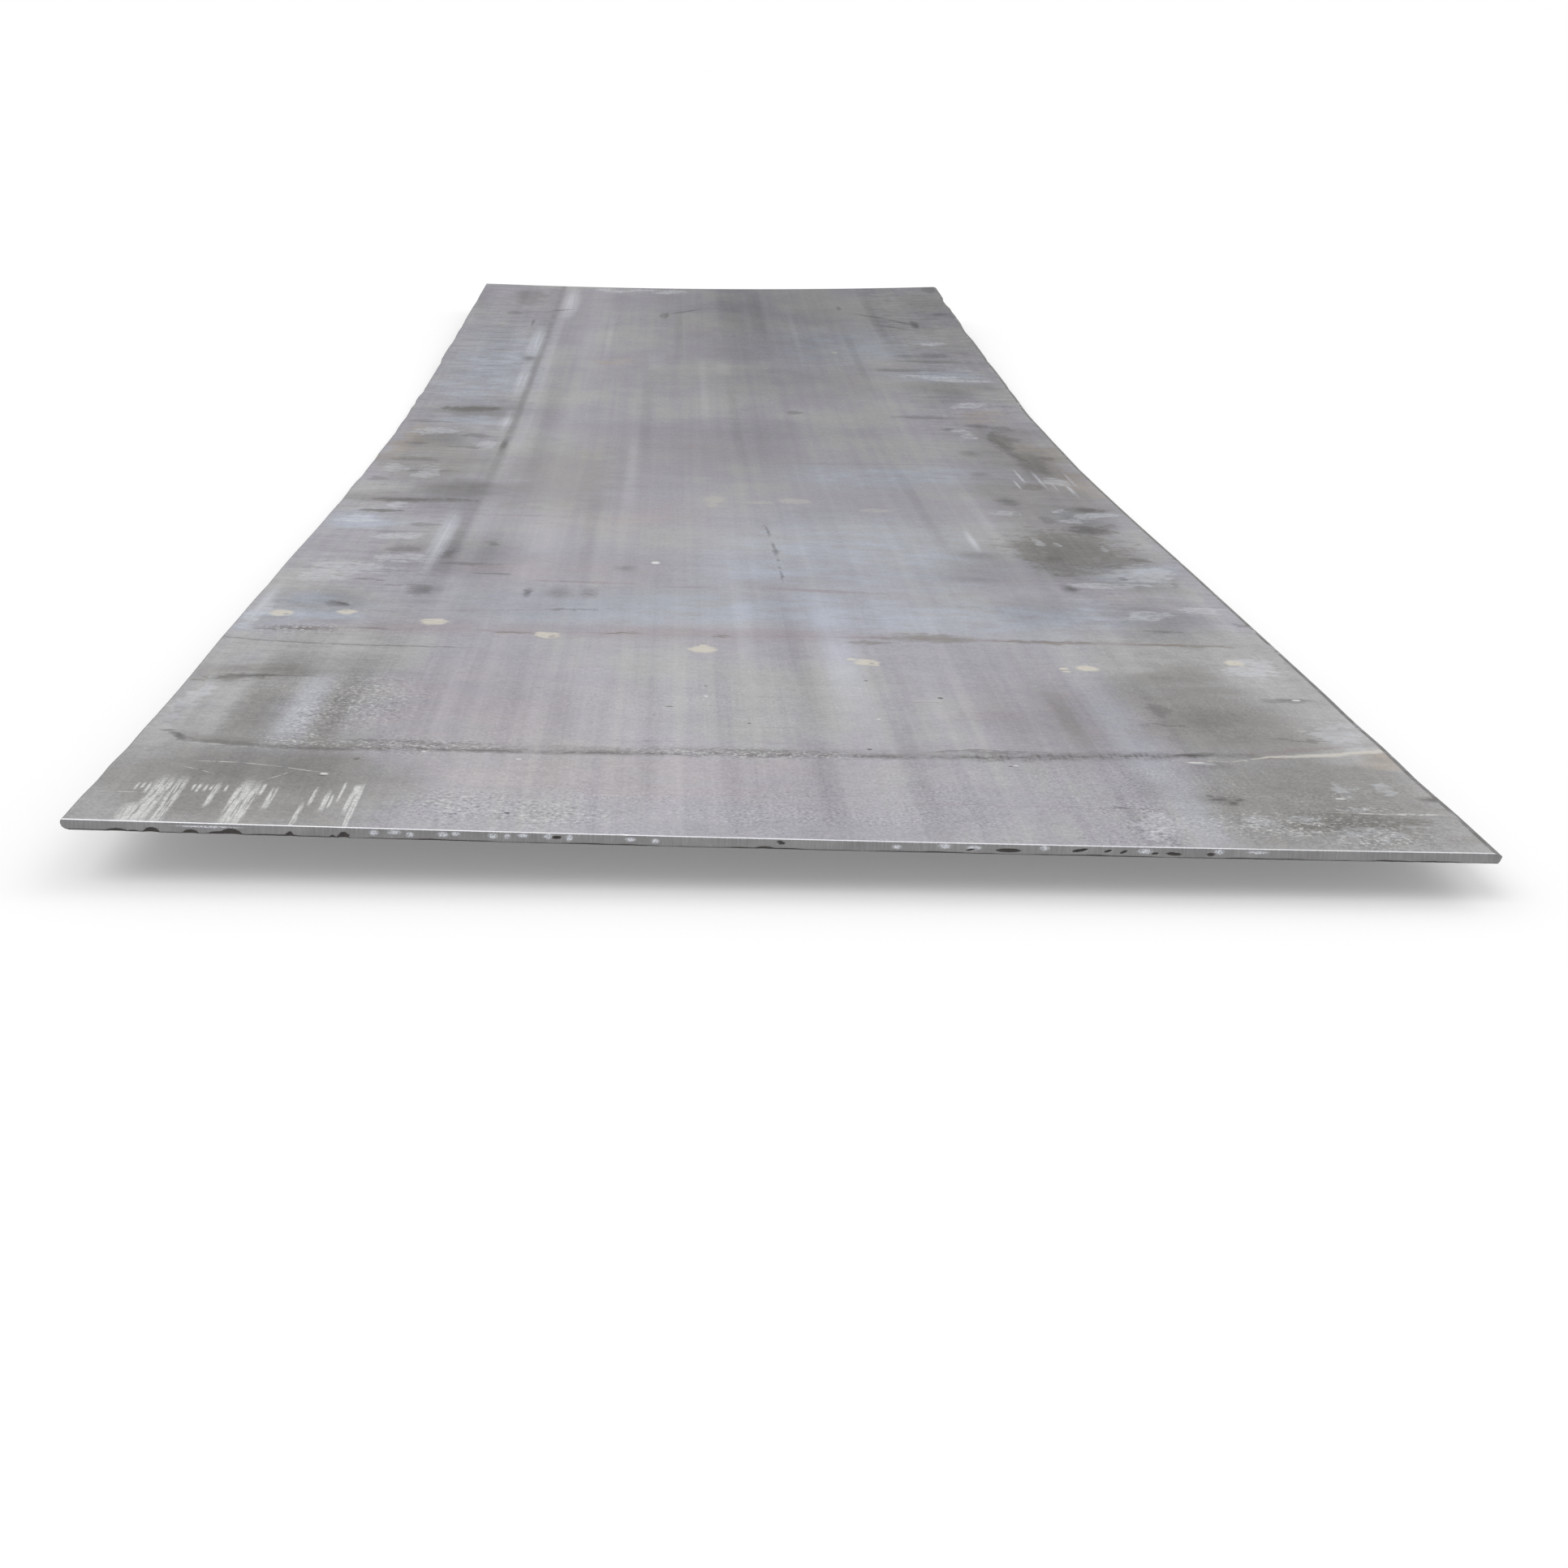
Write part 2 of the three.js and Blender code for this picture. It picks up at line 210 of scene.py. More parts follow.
class Skin:
    """The plate's skin as vertices and faces, with what the materials need to know of each vertex.

    A ring is four rows of vertices that go once round the plate at one station: across the underside
    and the top, and up the left and the right edge."""

    def __init__(self):
        self.places, self.ups, self.depths = [], [], []
        self.faces, self.zones = [], []

    def add(self, x, y, share, depth=0.0):
        """Adds a row of vertices and returns their numbers. Scalars hold for the whole row."""
        x, y, share, depth = np.broadcast_arrays(x, y, share, depth)
        z = row_height(share, x, y)
        first = len(self.places)
        self.places += list(zip(x.tolist(), y.tolist(), z.tolist()))
        self.ups += (share * (TOP.height(x, y) - BOTTOM.height(x, y))).tolist()
        self.depths += depth.tolist()
        return list(range(first, len(self.places)))

    def strip(self, row, other, zone):
        """Quads between two rows of as many vertices."""
        faces = list(zip(row, row[1:], other[1:], other))
        self.faces += faces
        self.zones += [ZONES.index(zone)] * len(faces)

    def stitch(self, row, other, zone):
        """Triangles between two rows that start and end side by side but differ in number."""
        i = j = 0
        while i < len(row) - 1 or j < len(other) - 1:
            if (i + 1) * (len(other) - 1) <= (j + 1) * (len(row) - 1):
                self.faces.append((row[i], row[i + 1], other[j]))
                i += 1
            else:
                self.faces.append((row[i], other[j + 1], other[j]))
                j += 1
            self.zones.append(ZONES.index(zone))

    def join(self, ring, other):
        """Faces between two rings."""
        for row, other_row, zone in zip(ring, other, ("underside", "top", "edge", "edge")):
            fill = self.strip if len(row) == len(other_row) else self.stitch
            fill(row, other_row, zone)


def add_ring(skin, columns, y_bottom, y_top, y_left, y_right):
    """Adds a ring and returns it. y_bottom and y_top hold one y, or one for each column, and y_left
    and y_right hold one for each row."""
    left, right = side_xs((y_left, y_right))
    flat = np.ones(len(columns))
    flat[[0, -1]] = 0
    low, high = SHARES[0] * (1 - flat), 1 - SHARES[0] * (1 - flat)
    bottom = skin.add(left[0] + columns * (right[0] - left[0]), y_bottom, low)
    top = skin.add(left[-1] + columns * (right[-1] - left[-1]), y_top, high)
    inner = slice(1, -1)
    left_rows = skin.add(left[inner], y_left[inner], SHARES[inner])
    right_rows = skin.add(right[inner], y_right[inner], SHARES[inner])
    return bottom, top, [bottom[0], *left_rows, top[0]], [bottom[-1], *right_rows, top[-1]]


def add_end(skin, end):
    """Adds a sheared end and its fine rows, and returns the innermost ring."""
    outline = REAR if end > 0 else FRONT
    columns = spaced(0, 1, END_COLUMN_PITCH / WIDTH)
    inside = np.full(len(SHARES), outline - end * END_MARGIN)
    left, right = side_xs((inside, inside))
    tuck = np.linspace(1, -1, len(columns)) * SKIN
    grid_x = left[:, None] + columns * (right - left)[:, None] + tuck
    grid_y = np.array([[end_y(end, share, x) for x in xs] for share, xs in zip(SHARES, grid_x)])
    depth = np.maximum(0, (outline - grid_y) * end - CUT_SLACK)
    grid_y -= end * torn_relief(end, grid_x, depth)
    rows = [
        skin.add(xs, ys, share, deep)
        for xs, ys, share, deep in zip(grid_x - tuck, grid_y, SHARES, depth)
    ]
    for row, other in zip(rows, rows[1:]):
        skin.strip(row, other, "end")
    border = rows[0], rows[-1], [row[0] for row in rows], [row[-1] for row in rows]
    sides = (grid_y[0], grid_y[-1], grid_y[:, 0], grid_y[:, -1])
    for distance in BAND:
        share = distance / BAND[-1]
        blend = share * share * (3 - 2 * share)
        ys = (side * (1 - blend) + outline * blend - end * distance for side in sides)
        ring = add_ring(skin, columns, *ys)
        skin.join(border, ring)
        border = ring
    return border


def torn_relief(end, grid_x, depth):
    """How far the rough torn steel lies in from its face. The top rows, at the arris, stay smooth."""
    heights = SHARES[:, None] * THICKNESS * np.ones_like(grid_x)
    tears = (noise.noise(Vector((x / TEAR_WIDTH, z / TEAR_HEIGHT, end * TEAR_WIDTH)))
             for x, z in zip(grid_x.flat, heights.flat))
    rough = np.fromiter(tears, float).reshape(grid_x.shape)
    torn = np.clip(depth / TEAR_DEPTH, 0, 1) * (SHARES[:, None] < ARRIS_SHARE)
    return torn * TEAR_DEPTH * np.clip(0.5 + rough, 0, 1)


def build_skin():
    skin = Skin()
    columns = spaced(0, 1, COLUMN_PITCH / WIDTH)
    ring = add_end(skin, -1)
    for y in spaced(FRONT + BAND_REACH, REAR - BAND_REACH, STATION_PITCH):
        rows = np.full(len(SHARES), y)
        other = add_ring(skin, columns, y, y, rows, rows)
        skin.join(ring, other)
        ring = other
    skin.join(ring, add_end(skin, 1))
    return skin


def values(items, name, kind=float, parts=1):
    """What a mesh's vertices, corners or faces hold under a name, as one flat array."""
    found = np.zeros(parts * len(items), kind)
    items.foreach_get(name, found)
    return found


def lay_out(mesh, ups):
    """A map for baking, without overlaps. The top face lies in four large tiles and the underside in
    four small ones. The rolled edges and the sheared ends stand as strips beside them."""
    corners = values(mesh.loops, "vertex_index", int)
    sizes = values(mesh.polygons, "loop_total", int)
    zones = values(mesh.polygons, "material_index", int)
    places = values(mesh.vertices, "co", parts=3).reshape(-1, 3)[corners] / MM
    x, s = places[:, 0] + HALF_WIDTH, places[:, 1] - FRONT
    up = np.array(ups)[corners] / THICKNESS

    starts = np.cumsum(sizes) - sizes
    middle_x, middle_s = (np.repeat(np.add.reduceat(v, starts) / sizes, sizes) for v in (x, s))
    zones = np.repeat(zones, sizes)
    tile = np.clip(middle_s // TILE, 0, 3)
    along = (s - tile * TILE + TILE_MARGIN) / (TILE + 2 * TILE_MARGIN)
    across = (x + TILE_MARGIN) / (WIDTH + 2 * TILE_MARGIN)
    whole = (s + TILE_MARGIN) / (LENGTH + 2 * TILE_MARGIN)
    right, rear = middle_x > HALF_WIDTH, middle_s > LENGTH / 2
    spots = (
        ((tile % 2 + across) * TOP_TILE, UNDERSIDE_TILE + (tile // 2 + along) * TOP_TILE),
        ((tile + across) * UNDERSIDE_TILE, along * UNDERSIDE_TILE),
        (EDGE_STRIPS + right * EDGE_PITCH + up * EDGE_STRIP, whole),
        (END_STRIPS + rear * END_PITCH + up * END_STRIP, across),
    )
    flat = np.array([np.choose(zones, axis) for axis in zip(*spots)])
    mesh.uv_layers.new(name="OFBake").data.foreach_set("uv", flat.T.ravel())


def added(name, data):
    """A new object in the scene."""
    thing = bpy.data.objects.new(name, data)
    bpy.context.scene.collection.objects.link(thing)
    return thing


def skin_object(skin):
    mesh = bpy.data.meshes.new("hot_rolled_plate")
    mesh.from_pydata((np.array(skin.places) * MM).tolist(), [], skin.faces)
    mesh.polygons.foreach_set("material_index", skin.zones)
    for name, known in (("up", skin.ups), ("depth", skin.depths)):
        mesh.attributes.new(name, "FLOAT", "POINT").data.foreach_set("value", known)
    work = bmesh.new()
    work.from_mesh(mesh)
    bmesh.ops.recalc_face_normals(work, faces=work.faces)
    work.to_mesh(mesh)
    work.free()
    lay_out(mesh, skin.ups)
    # The materials come in this order: one for each stretch of the top, and then the other zones'.
    middles = values(mesh.polygons, "center", parts=3)[1::3] / MM - FRONT
    zones, stretches = np.array(skin.zones), np.searchsorted(STRETCHES[1:-1], middles)
    numbers = np.where(zones == ZONES.index("top"), stretches, zones + len(STRETCHES) - 2)
    mesh.polygons.foreach_set("material_index", numbers)
    mesh.shade_smooth()
    mesh.set_sharp_from_angle(angle=math.radians(SHARP_ANGLE))
    return added("hot_rolled_plate", mesh)


# ---- Fields: what a material is made of ----
SEED_STEP = 7.31  # how far apart the slices of noise lie that two seeds take
FAR_OFF = 100.0  # a distance from the nearest mark that counts as off them all


def tone(red, green, blue):
    """An sRGB colour, 0 to 255, as the linear colour that a shader takes."""
    parts = [part / 255 for part in (red, green, blue)]
    linear = [p / 12.92 if p <= 0.04045 else ((p + 0.055) / 1.055) ** 2.4 for p in parts]
    return (*linear, 1.0)


class Field:
    """A number or a colour that varies over the surface: one socket of a node tree."""

    def __init__(self, tree, socket):
        self.tree, self.socket = tree, socket

    def math(self, operation, *others):
        return self.tree.math(operation, self, *others)

    def __rsub__(self, other):
        return self.tree.math("SUBTRACT", other, self)

    __add__ = __radd__ = partialmethod(math, "ADD")
    __sub__ = partialmethod(math, "SUBTRACT")
    __mul__ = __rmul__ = partialmethod(math, "MULTIPLY")
    __truediv__ = partialmethod(math, "DIVIDE")
    __abs__ = partialmethod(math, "ABSOLUTE")
    most = partialmethod(math, "MAXIMUM")
    least = partialmethod(math, "MINIMUM")

    def rise(self, low, high):
        """0 below low and 1 above high, smoothly. With low over high it falls instead."""
        inputs = {"Value": self, "From Min": low, "From Max": high}
        return self.tree.node("ShaderNodeMapRange", inputs, interpolation_type="SMOOTHSTEP")

    def span(self, low, high, soft):
        """1 from low to high, and fading to 0 outside over a distance."""
        return self.rise(low - soft, low) * self.rise(high + soft, high)


class Tree:
    """A node tree, built up from fields."""

    def __init__(self, tree):
        self.nodes, self.links = tree.nodes, tree.links

    def feed(self, socket, value):
        if isinstance(value, Field):
            self.links.new(value.socket, socket)
        else:
            socket.default_value = value

    def fill(self, node, inputs):
        for name, value in inputs.items():
            self.feed(node.inputs[name], value)

    def node(self, kind, inputs, output=0, **settings):
        """Adds a node and returns one of its outputs. inputs holds socket names or numbers."""
        node = self.nodes.new(kind)
        for name, value in settings.items():
            setattr(node, name, value)
        self.fill(node, inputs)
        return Field(self, node.outputs[output]) if node.outputs else None

    def math(self, operation, *values):
        return self.node("ShaderNodeMath", dict(enumerate(values)), operation=operation)

    def vector(self, operation, inputs, output=0):
        return self.node("ShaderNodeVectorMath", inputs, output, operation=operation)

    def attribute(self, name):
        return self.node("ShaderNodeAttribute", {}, "Fac", attribute_name=name)

    def place(self):
        """x from the plate's left edge, s from its front end, and the height, in millimetres."""
        place = self.node("ShaderNodeTexCoord", {}, "Object")
        split = self.nodes.new("ShaderNodeSeparateXYZ")
        self.feed(split.inputs[0], place)
        x, y, z = (Field(self, socket) for socket in split.outputs)
        return x / MM + HALF_WIDTH, y / MM - FRONT, z / MM

    def point(self, x, s, third=1.0):
        return self.node("ShaderNodeCombineXYZ", {0: x, 1: s, 2: third})

    def noise(self, x, s, size_x, size_s, seed, detail=2.0, roughness=0.5):
        """Smooth noise from 0 to 1 about 0.5, with blobs of about that size in millimetres."""
        where = self.point(x / size_x, s / size_s, seed * SEED_STEP)
        inputs = {"Vector": where, "Scale": 1.0, "Detail": detail, "Roughness": roughness}
        return self.node("ShaderNodeTexNoise", inputs)

    def curve(self, value, stops, smooth=True):
        """A curve through (place, height) stops, each from 0 to 1."""
        node = self.nodes.new("ShaderNodeFloatCurve")
        points = node.mapping.curves[0].points
        while len(points) < len(stops):
            points.new(0.5, 0.5)
        for point, stop in zip(points, stops):
            point.location = stop
            point.handle_type = "AUTO_CLAMPED" if smooth else "VECTOR"
        node.mapping.update()
        self.feed(node.inputs["Value"], value)
        return Field(self, node.outputs["Value"])

    def mix(self, share, colour, other):
        """Two colours mixed, through those of the node's sockets that are for colours."""
        inputs = {0: share, 6: colour, 7: other}
        return self.node("ShaderNodeMix", inputs, 2, data_type="RGBA", clamp_factor=True)

    def shade(self, colour, factor):
        """A colour made lighter or darker by a factor."""
        return self.node("ShaderNodeHueSaturation", {"Color": colour, "Value": factor})

    def line(self, x, s, stops, width, soft=0.8):
        """1 on a line that crosses the plate through (x, s) stops, and 0 off it."""
        low = min(stop[1] for stop in stops)
        reach = max(stop[1] for stop in stops) - low
        inside = [(stop_x / WIDTH, (stop_s - low) / reach) for stop_x, stop_s in stops]
        middle = self.curve(x / WIDTH, inside, False) * reach + low
        return abs(s - middle).rise(width / 2 * (1 + soft), width / 2 * (1 - soft))


class Look(Tree):
    """A material, for the stretch of the plate that lies from one s to another."""

    def __init__(self, name, start=-math.inf, stop=math.inf):
        self.start, self.stop = start, stop
        self.material = bpy.data.materials.new(name)
        self.material.use_nodes = True
        super().__init__(self.material.node_tree)
        self.shader = self.nodes["Principled BSDF"]

    def reached(self, mark, soft):
        """Whether a mark can reach the look's stretch of the plate."""
        _, middle_s, along, across, *_ = mark
        reach = math.hypot(along, across) / 2 * (1 + soft) + WANDER
        return self.start - reach < middle_s < self.stop + reach

    def marks(self, point, marks, soft=0.9, boxy=False):
        """1 on the marks and 0 off them. A mark is an ellipse, or a rounded box: its middle in x and s,
        its size along and across, and the degrees that it is turned by."""
        marks = [mark for mark in marks if self.reached(mark, soft)]
        if not marks:
            return self.math("ADD", 0.0, 0.0)  # 0 everywhere
        group = self.nodes.new("ShaderNodeGroup")
        group.node_tree = nearest_mark(marks, boxy)
        self.feed(group.inputs[0], point)
        return Field(self, group.outputs[0]).rise(1 + soft, max(0.0, 1 - soft))

    def cover(self, share, tone):
        """Lays a tone over the colour so far."""
        self.colour = self.mix(share, self.colour, tone)

    def finish(self, roughness, height, depth, metallic, specular=0.35):
        """Sets the shader. height is the relief's field, 0 to 1, and depth its size in millimetres."""
        inputs = {"Height": height, "Distance": depth * MM, "Strength": 1.0}
        normal = self.node("ShaderNodeBump", inputs)
        looks = {"Base Color": self.colour, "Roughness": roughness, "Normal": normal}
        self.fill(self.shader, looks | {"Metallic": metallic, "Specular IOR Level": specular})
        return self.material


def nearest_mark(marks, boxy):
    """A node group that says how far off the nearest mark is: 0 at its middle and 1 at its outline."""
    group = bpy.data.node_groups.new("nearest_mark", "ShaderNodeTree")
    group.interface.new_socket("Place", in_out="INPUT", socket_type="NodeSocketVector")
    group.interface.new_socket("Distance", in_out="OUTPUT", socket_type="NodeSocketFloat")
    tree = Tree(group)
    place = tree.node("NodeGroupInput", {})
    nearest = FAR_OFF
    for middle_x, middle_s, along, across, *turn in marks:
        where = place
        if turn:
            inputs = {"Center": (middle_x, middle_s, 0), "Angle": -math.radians(turn[0])}
            inputs["Vector"] = place
            where = tree.node("ShaderNodeVectorRotate", inputs, rotation_type="Z_AXIS")
        inputs = {0: where, 1: (2 / along, 2 / across, 0)}
        inputs[2] = (-2 * middle_x / along, -2 * middle_s / across, 0)
        offset = tree.vector("MULTIPLY_ADD", inputs)
        if boxy:
            offset = tree.vector("MULTIPLY", {0: offset, 1: offset})
        nearest = tree.vector("DOT_PRODUCT", {0: offset, 1: offset}, "Value").least(nearest)
    distance = nearest.math("SQRT")
    tree.node("NodeGroupOutput", {0: distance.math("SQRT") if boxy else distance})
    return group


def strokes(*ends):
    """Marks that run from one place to another, each from its x and s at both ends and its width."""
    return tuple(
        ((x + far_x) / 2, (s + far_s) / 2, math.hypot(far_x - x, far_s - s), width,
         math.degrees(math.atan2(far_s - s, far_x - x)))
        for x, s, far_x, far_s, width in ends
    )


# ---- The top face: mill scale, what has marked it, and painted shade ----
SCALE_VIOLET = tone(158, 156, 163)
SCALE_GREY = tone(161, 160, 161)
SCALE_BLUE = tone(166, 171, 182)
SCALE_OLIVE = tone(124, 122, 116)
SCALE_DULL = tone(113, 111, 107)
SCALE_DARK = tone(92, 90, 90)
TINT_PINK = tone(159, 152, 155)
STAIN_RED = tone(132, 112, 114)
RUST_OLIVE = tone(112, 106, 92)
TAN = tone(166, 154, 142)
LIME_CREAM = tone(214, 208, 194)
LIME_GREY = tone(178, 174, 166)
CHALK = tone(218, 218, 217)
SCRAPED = tone(216, 211, 202)
PALE_SCUFF = tone(204, 207, 214)
SOOT = tone(58, 56, 56)

# Across the plate: how light each lengthwise roll streak is, near the front and near the rear.
FRONT_STREAKS = (
    (0.0, 0.52), (0.05, 0.48), (0.08, 0.38), (0.1, 0.42), (0.115, 0.58), (0.13, 0.54), (0.147, 0.38),
    (0.19, 0.5), (0.25, 0.6), (0.3, 0.64), (0.35, 0.74), (0.41, 0.7), (0.45, 0.6), (0.49, 0.62),
    (0.535, 0.47), (0.57, 0.68), (0.61, 0.54), (0.65, 0.58), (0.69, 0.53), (0.74, 0.44), (0.77, 0.48),
    (0.795, 0.56), (0.83, 0.42), (0.9, 0.44), (0.95, 0.54), (1.0, 0.56),
)
REAR_STREAKS = (
    (0.0, 0.54), (0.05, 0.58), (0.1, 0.5), (0.14, 0.52), (0.17, 0.36), (0.19, 0.64), (0.22, 0.46),
    (0.265, 0.68), (0.31, 0.56), (0.345, 0.56), (0.4, 0.48), (0.47, 0.5), (0.51, 0.44), (0.55, 0.38),
    (0.59, 0.4), (0.64, 0.46), (0.72, 0.44), (0.8, 0.56), (0.84, 0.46), (0.95, 0.5), (1.0, 0.5),
)

# Wide areas, very soft: the middle in x and s, and the size in x and s.
DIM_AREAS = (
    (1370, 150, 320, 440), (1400, 110, 260, 300), (860, 5500, 260, 1300), (1250, 5350, 700, 1500),
    (140, 200, 330, 330), (1050, 4750, 500, 800), (1200, 1325, 300, 200), (1340, 480, 200, 500),
    (130, 3520, 260, 260), (1340, 1850, 260, 560), (1390, 3050, 260, 1000), (200, 2340, 190, 320),
    (900, 3250, 700, 320), (1350, 3900, 300, 260), (1120, 540, 180, 320), (1000, 4100, 700, 500),
    (1150, 5500, 760, 1000), (1150, 2700, 420, 1600), (1390, 2300, 150, 500), (1110, 1560, 240, 300),
    (1230, 1640, 240, 420), (180, 1680, 220, 300), (1380, 1220, 200, 240), (120, 1230, 160, 200),
    (1400, 4800, 160, 500), (30, 5600, 90, 500), (1390, 5650, 200, 500), (1000, 5500, 900, 1200),
    (1330, 4700, 300, 400), (320, 1640, 110, 460), (780, 2900, 400, 800), (520, 1260, 500, 260),
    (1430, 5650, 140, 500), (1390, 1180, 180, 200), (1390, 320, 260, 200),
)
DEEP_AREAS = (
    (1190, 1640, 170, 340), (1290, 1590, 170, 260), (1275, 1780, 150, 260), (270, 1620, 150, 320),
    (1180, 1230, 90, 260), (1360, 1220, 120, 240), (200, 2260, 110, 340), (170, 770, 140, 160),
    (1240, 740, 130, 180), (1400, 2140, 60, 160), (1430, 5600, 110, 400), (110, 1240, 120, 120),
    (1400, 2800, 80, 300), (110, 3060, 160, 160), (230, 2390, 140, 130), (1130, 1515, 150, 70),
    (190, 230, 130, 150), (1290, 590, 90, 140), (1393, 2020, 60, 90), (1330, 3850, 90, 160),
)
BLUE_AREAS = (
    (800, 1210, 820, 300), (1060, 2660, 360, 300), (930, 1730, 420, 760), (155, 4200, 200, 1300),
    (120, 1240, 120, 140), (1080, 1230, 260, 240), (790, 1560, 260, 260), (1100, 4700, 400, 700),
    (60, 2000, 120, 160), (1320, 4190, 260, 240), (1400, 1590, 120, 200), (1180, 1220, 300, 200),
    (165, 3360, 140, 160), (1410, 2190, 110, 120), (950, 1620, 320, 300), (80, 1110, 160, 200),
)
PINK_AREAS = (
    (370, 520, 300, 420), (1120, 560, 200, 380), (560, 250, 500, 200), (420, 1520, 360, 120),
    (600, 2080, 300, 260), (650, 3000, 240, 400), (1110, 4080, 60, 200), (1120, 1530, 200, 130),
    (700, 4980, 60, 160), (1417, 2600, 90, 120), (1440, 4680, 60, 240), (260, 5600, 260, 500),
    (170, 1690, 90, 120), (1336, 1348, 100, 110), (690, 1040, 400, 90), (900, 1380, 240, 50),
)
OLIVE_AREAS = (
    (1320, 1830, 230, 440), (90, 3000, 180, 500), (1320, 560, 240, 400), (1350, 180, 320, 400),
    (1350, 2250, 240, 500), (1390, 3020, 220, 860), (60, 2240, 180, 130), (200, 2400, 200, 240),
    (145, 165, 340, 390), (150, 3510, 200, 110), (1340, 2500, 260, 400), (400, 2600, 260, 1100),
    (1390, 60, 220, 160), (1400, 1500, 140, 160), (1300, 830, 140, 200), (1360, 4020, 240, 200),
    (140, 2700, 240, 500), (90, 720, 200, 110), (1430, 2900, 140, 700), (60, 2900, 120, 700),
    (1400, 320, 220, 180),
)
TAN_AREAS = (
    (1470, 394, 60, 50), (1455, 2640, 90, 500), (30, 3000, 50, 500), (1440, 3050, 90, 300),
    (480, 4304, 90, 120), (1200, 4380, 120, 160), (1380, 3600, 120, 120),
)

# Marks with a clearer outline.
OLIVE_PATCHES = (
    (1325, 1800, 214, 470), (1395, 2030, 80, 150), (1275, 1650, 110, 170), (1425, 2270, 90, 60, 30),
    (1240, 1780, 50, 260), (1350, 1665, 90, 50), (1380, 100, 190, 90), (110, 2220, 150, 60),
    (95, 2084, 96, 40), (150, 3530, 150, 90), (60, 680, 90, 50), (1400, 2900, 80, 300),
    (1380, 3200, 60, 260), (90, 2780, 110, 60), (1350, 2560, 60, 100), (190, 2230, 120, 60),
)
RUST_PATCHES = (
    (1000, 1036, 150, 48), (910, 998, 60, 15), (1172, 1032, 140, 26), (556, 1020, 50, 12),
    (700, 1018, 36, 9), (1355, 1022, 150, 20), (390, 1022, 60, 14),
)
DARK_SMEARS = (
    (1282, 2356, 46, 104), (1420, 2284, 66, 60, 40), (1282, 1720, 40, 60), (1420, 1732, 48, 50),
    (1243, 612, 34, 80), (1243, 540, 60, 12), (1432, 690, 80, 24), (1255, 388, 60, 26),
    (1374, 3110, 34, 260), (90, 1010, 90, 34), (200, 1014, 70, 16), (1366, 1546, 15, 40),
    (68, 686, 56, 26), (140, 698, 110, 16), (131, 1200, 46, 30, -44), (236, 1316, 38, 92),
    (213, 1362, 84, 10), (150, 1396, 66, 12), (168, 1476, 72, 30), (480, 1196, 90, 14),
    (91, 2088, 84, 34), (110, 2220, 140, 40), (170, 1940, 76, 40), (170, 1690, 66, 80),
    (317, 1760, 26, 60), (287, 1548, 110, 22), (343, 1484, 70, 18), (252, 1640, 20, 120),
    (150, 3535, 140, 60), (232, 4372, 40, 80), (1350, 4560, 110, 80), (1230, 3545, 170, 56),
    (920, 3578, 40, 50), (1272, 3376, 40, 46), (1356, 5168, 20, 150), (1448, 5390, 80, 40, 60),
    (1480, 5930, 60, 160), (592, 5312, 20, 110), (170, 5700, 100, 420), (1490, 1170, 30, 30),
    (1352, 1120, 60, 20), (1410, 480, 80, 12), (30, 480, 20, 120), (1444, 1500, 20, 50),
    (40, 2500, 50, 90), (190, 3120, 70, 60), (60, 3000, 60, 60), (1330, 2140, 30, 120),
    (1440, 2080, 40, 60), (1340, 3440, 60, 70), (130, 5300, 60, 80), (320, 362, 220, 12),
    (720, 372, 140, 10), (1000, 384, 160, 12), (1390, 3400, 60, 120), (130, 1850, 60, 30),
    *strokes((1376, 3430, 1352, 3130, 20), (1352, 3120, 1392, 2880, 20)), (1410, 3240, 50, 70),
    (1440, 2960, 50, 60), (1340, 4450, 200, 60), (1250, 4290, 200, 50), (60, 3330, 100, 40),
    (180, 2960, 90, 40), (120, 2620, 150, 40), (1392, 2040, 52, 96),
)
PALE_SMEARS = (
    (1420, 2190, 130, 60, 48), (1376, 2130, 50, 60), (1400, 1590, 120, 210), (1330, 1480, 130, 60),
    (1266, 1890, 16, 90), (1290, 1860, 13, 60), (1383, 1828, 15, 66), (1258, 2212, 60, 64),
    (1370, 2248, 30, 50), (115, 2156, 42, 90), (52, 1995, 76, 100), (140, 1828, 90, 66),
    (110, 1500, 150, 130), (60, 1420, 80, 120), (180, 1600, 110, 70), (1384, 238, 32, 74),
    (1436, 250, 28, 96), (1248, 338, 34, 22), (1395, 160, 48, 14), (1385, 60, 100, 70),
    (1320, 110, 60, 26), (1450, 96, 50, 14), (1262, 95, 50, 60), (1147, 70, 50, 120),
    (30, 560, 26, 300), (180, 345, 60, 22), (28, 1100, 34, 200), (125, 2590, 50, 220),
    (450, 5890, 90, 90), (520, 5930, 80, 60), (610, 5900, 100, 90), (400, 5930, 70, 70),
    (1312, 3270, 46, 110), (1300, 3350, 40, 60), (1305, 4190, 190, 60), (1370, 4130, 170, 50),
    (1360, 3740, 110, 60, 30), (90, 3180, 110, 120), (1455, 500, 70, 170), (1370, 4780, 80, 56),
    (1350, 1240, 90, 70), (1440, 1290, 60, 70), (1440, 880, 80, 140), (220, 3000, 50, 100),
    (1420, 2640, 60, 130), (60, 2650, 60, 120), (1420, 860, 60, 90),
)
# Small dark places.
SOOT_SMUDGES = (
    *strokes((41, 385, 59, 347, 9)), (1238, 190, 17, 10), (1252, 178, 9, 15), (1230, 206, 9, 9),
    (1262, 192, 8, 6), (1487, 208, 30, 16), (1123, 148, 24, 6), (1440, 692, 50, 12), (34, 392, 20, 8),
    (1354, 5165, 16, 120), (267, 281, 6, 11), (1246, 386, 34, 12), (88, 700, 50, 14),
    (135, 1196, 34, 12, -44), (402, 1318, 12, 58), (240, 202, 7, 4), (1265, 1446, 19, 42),
)
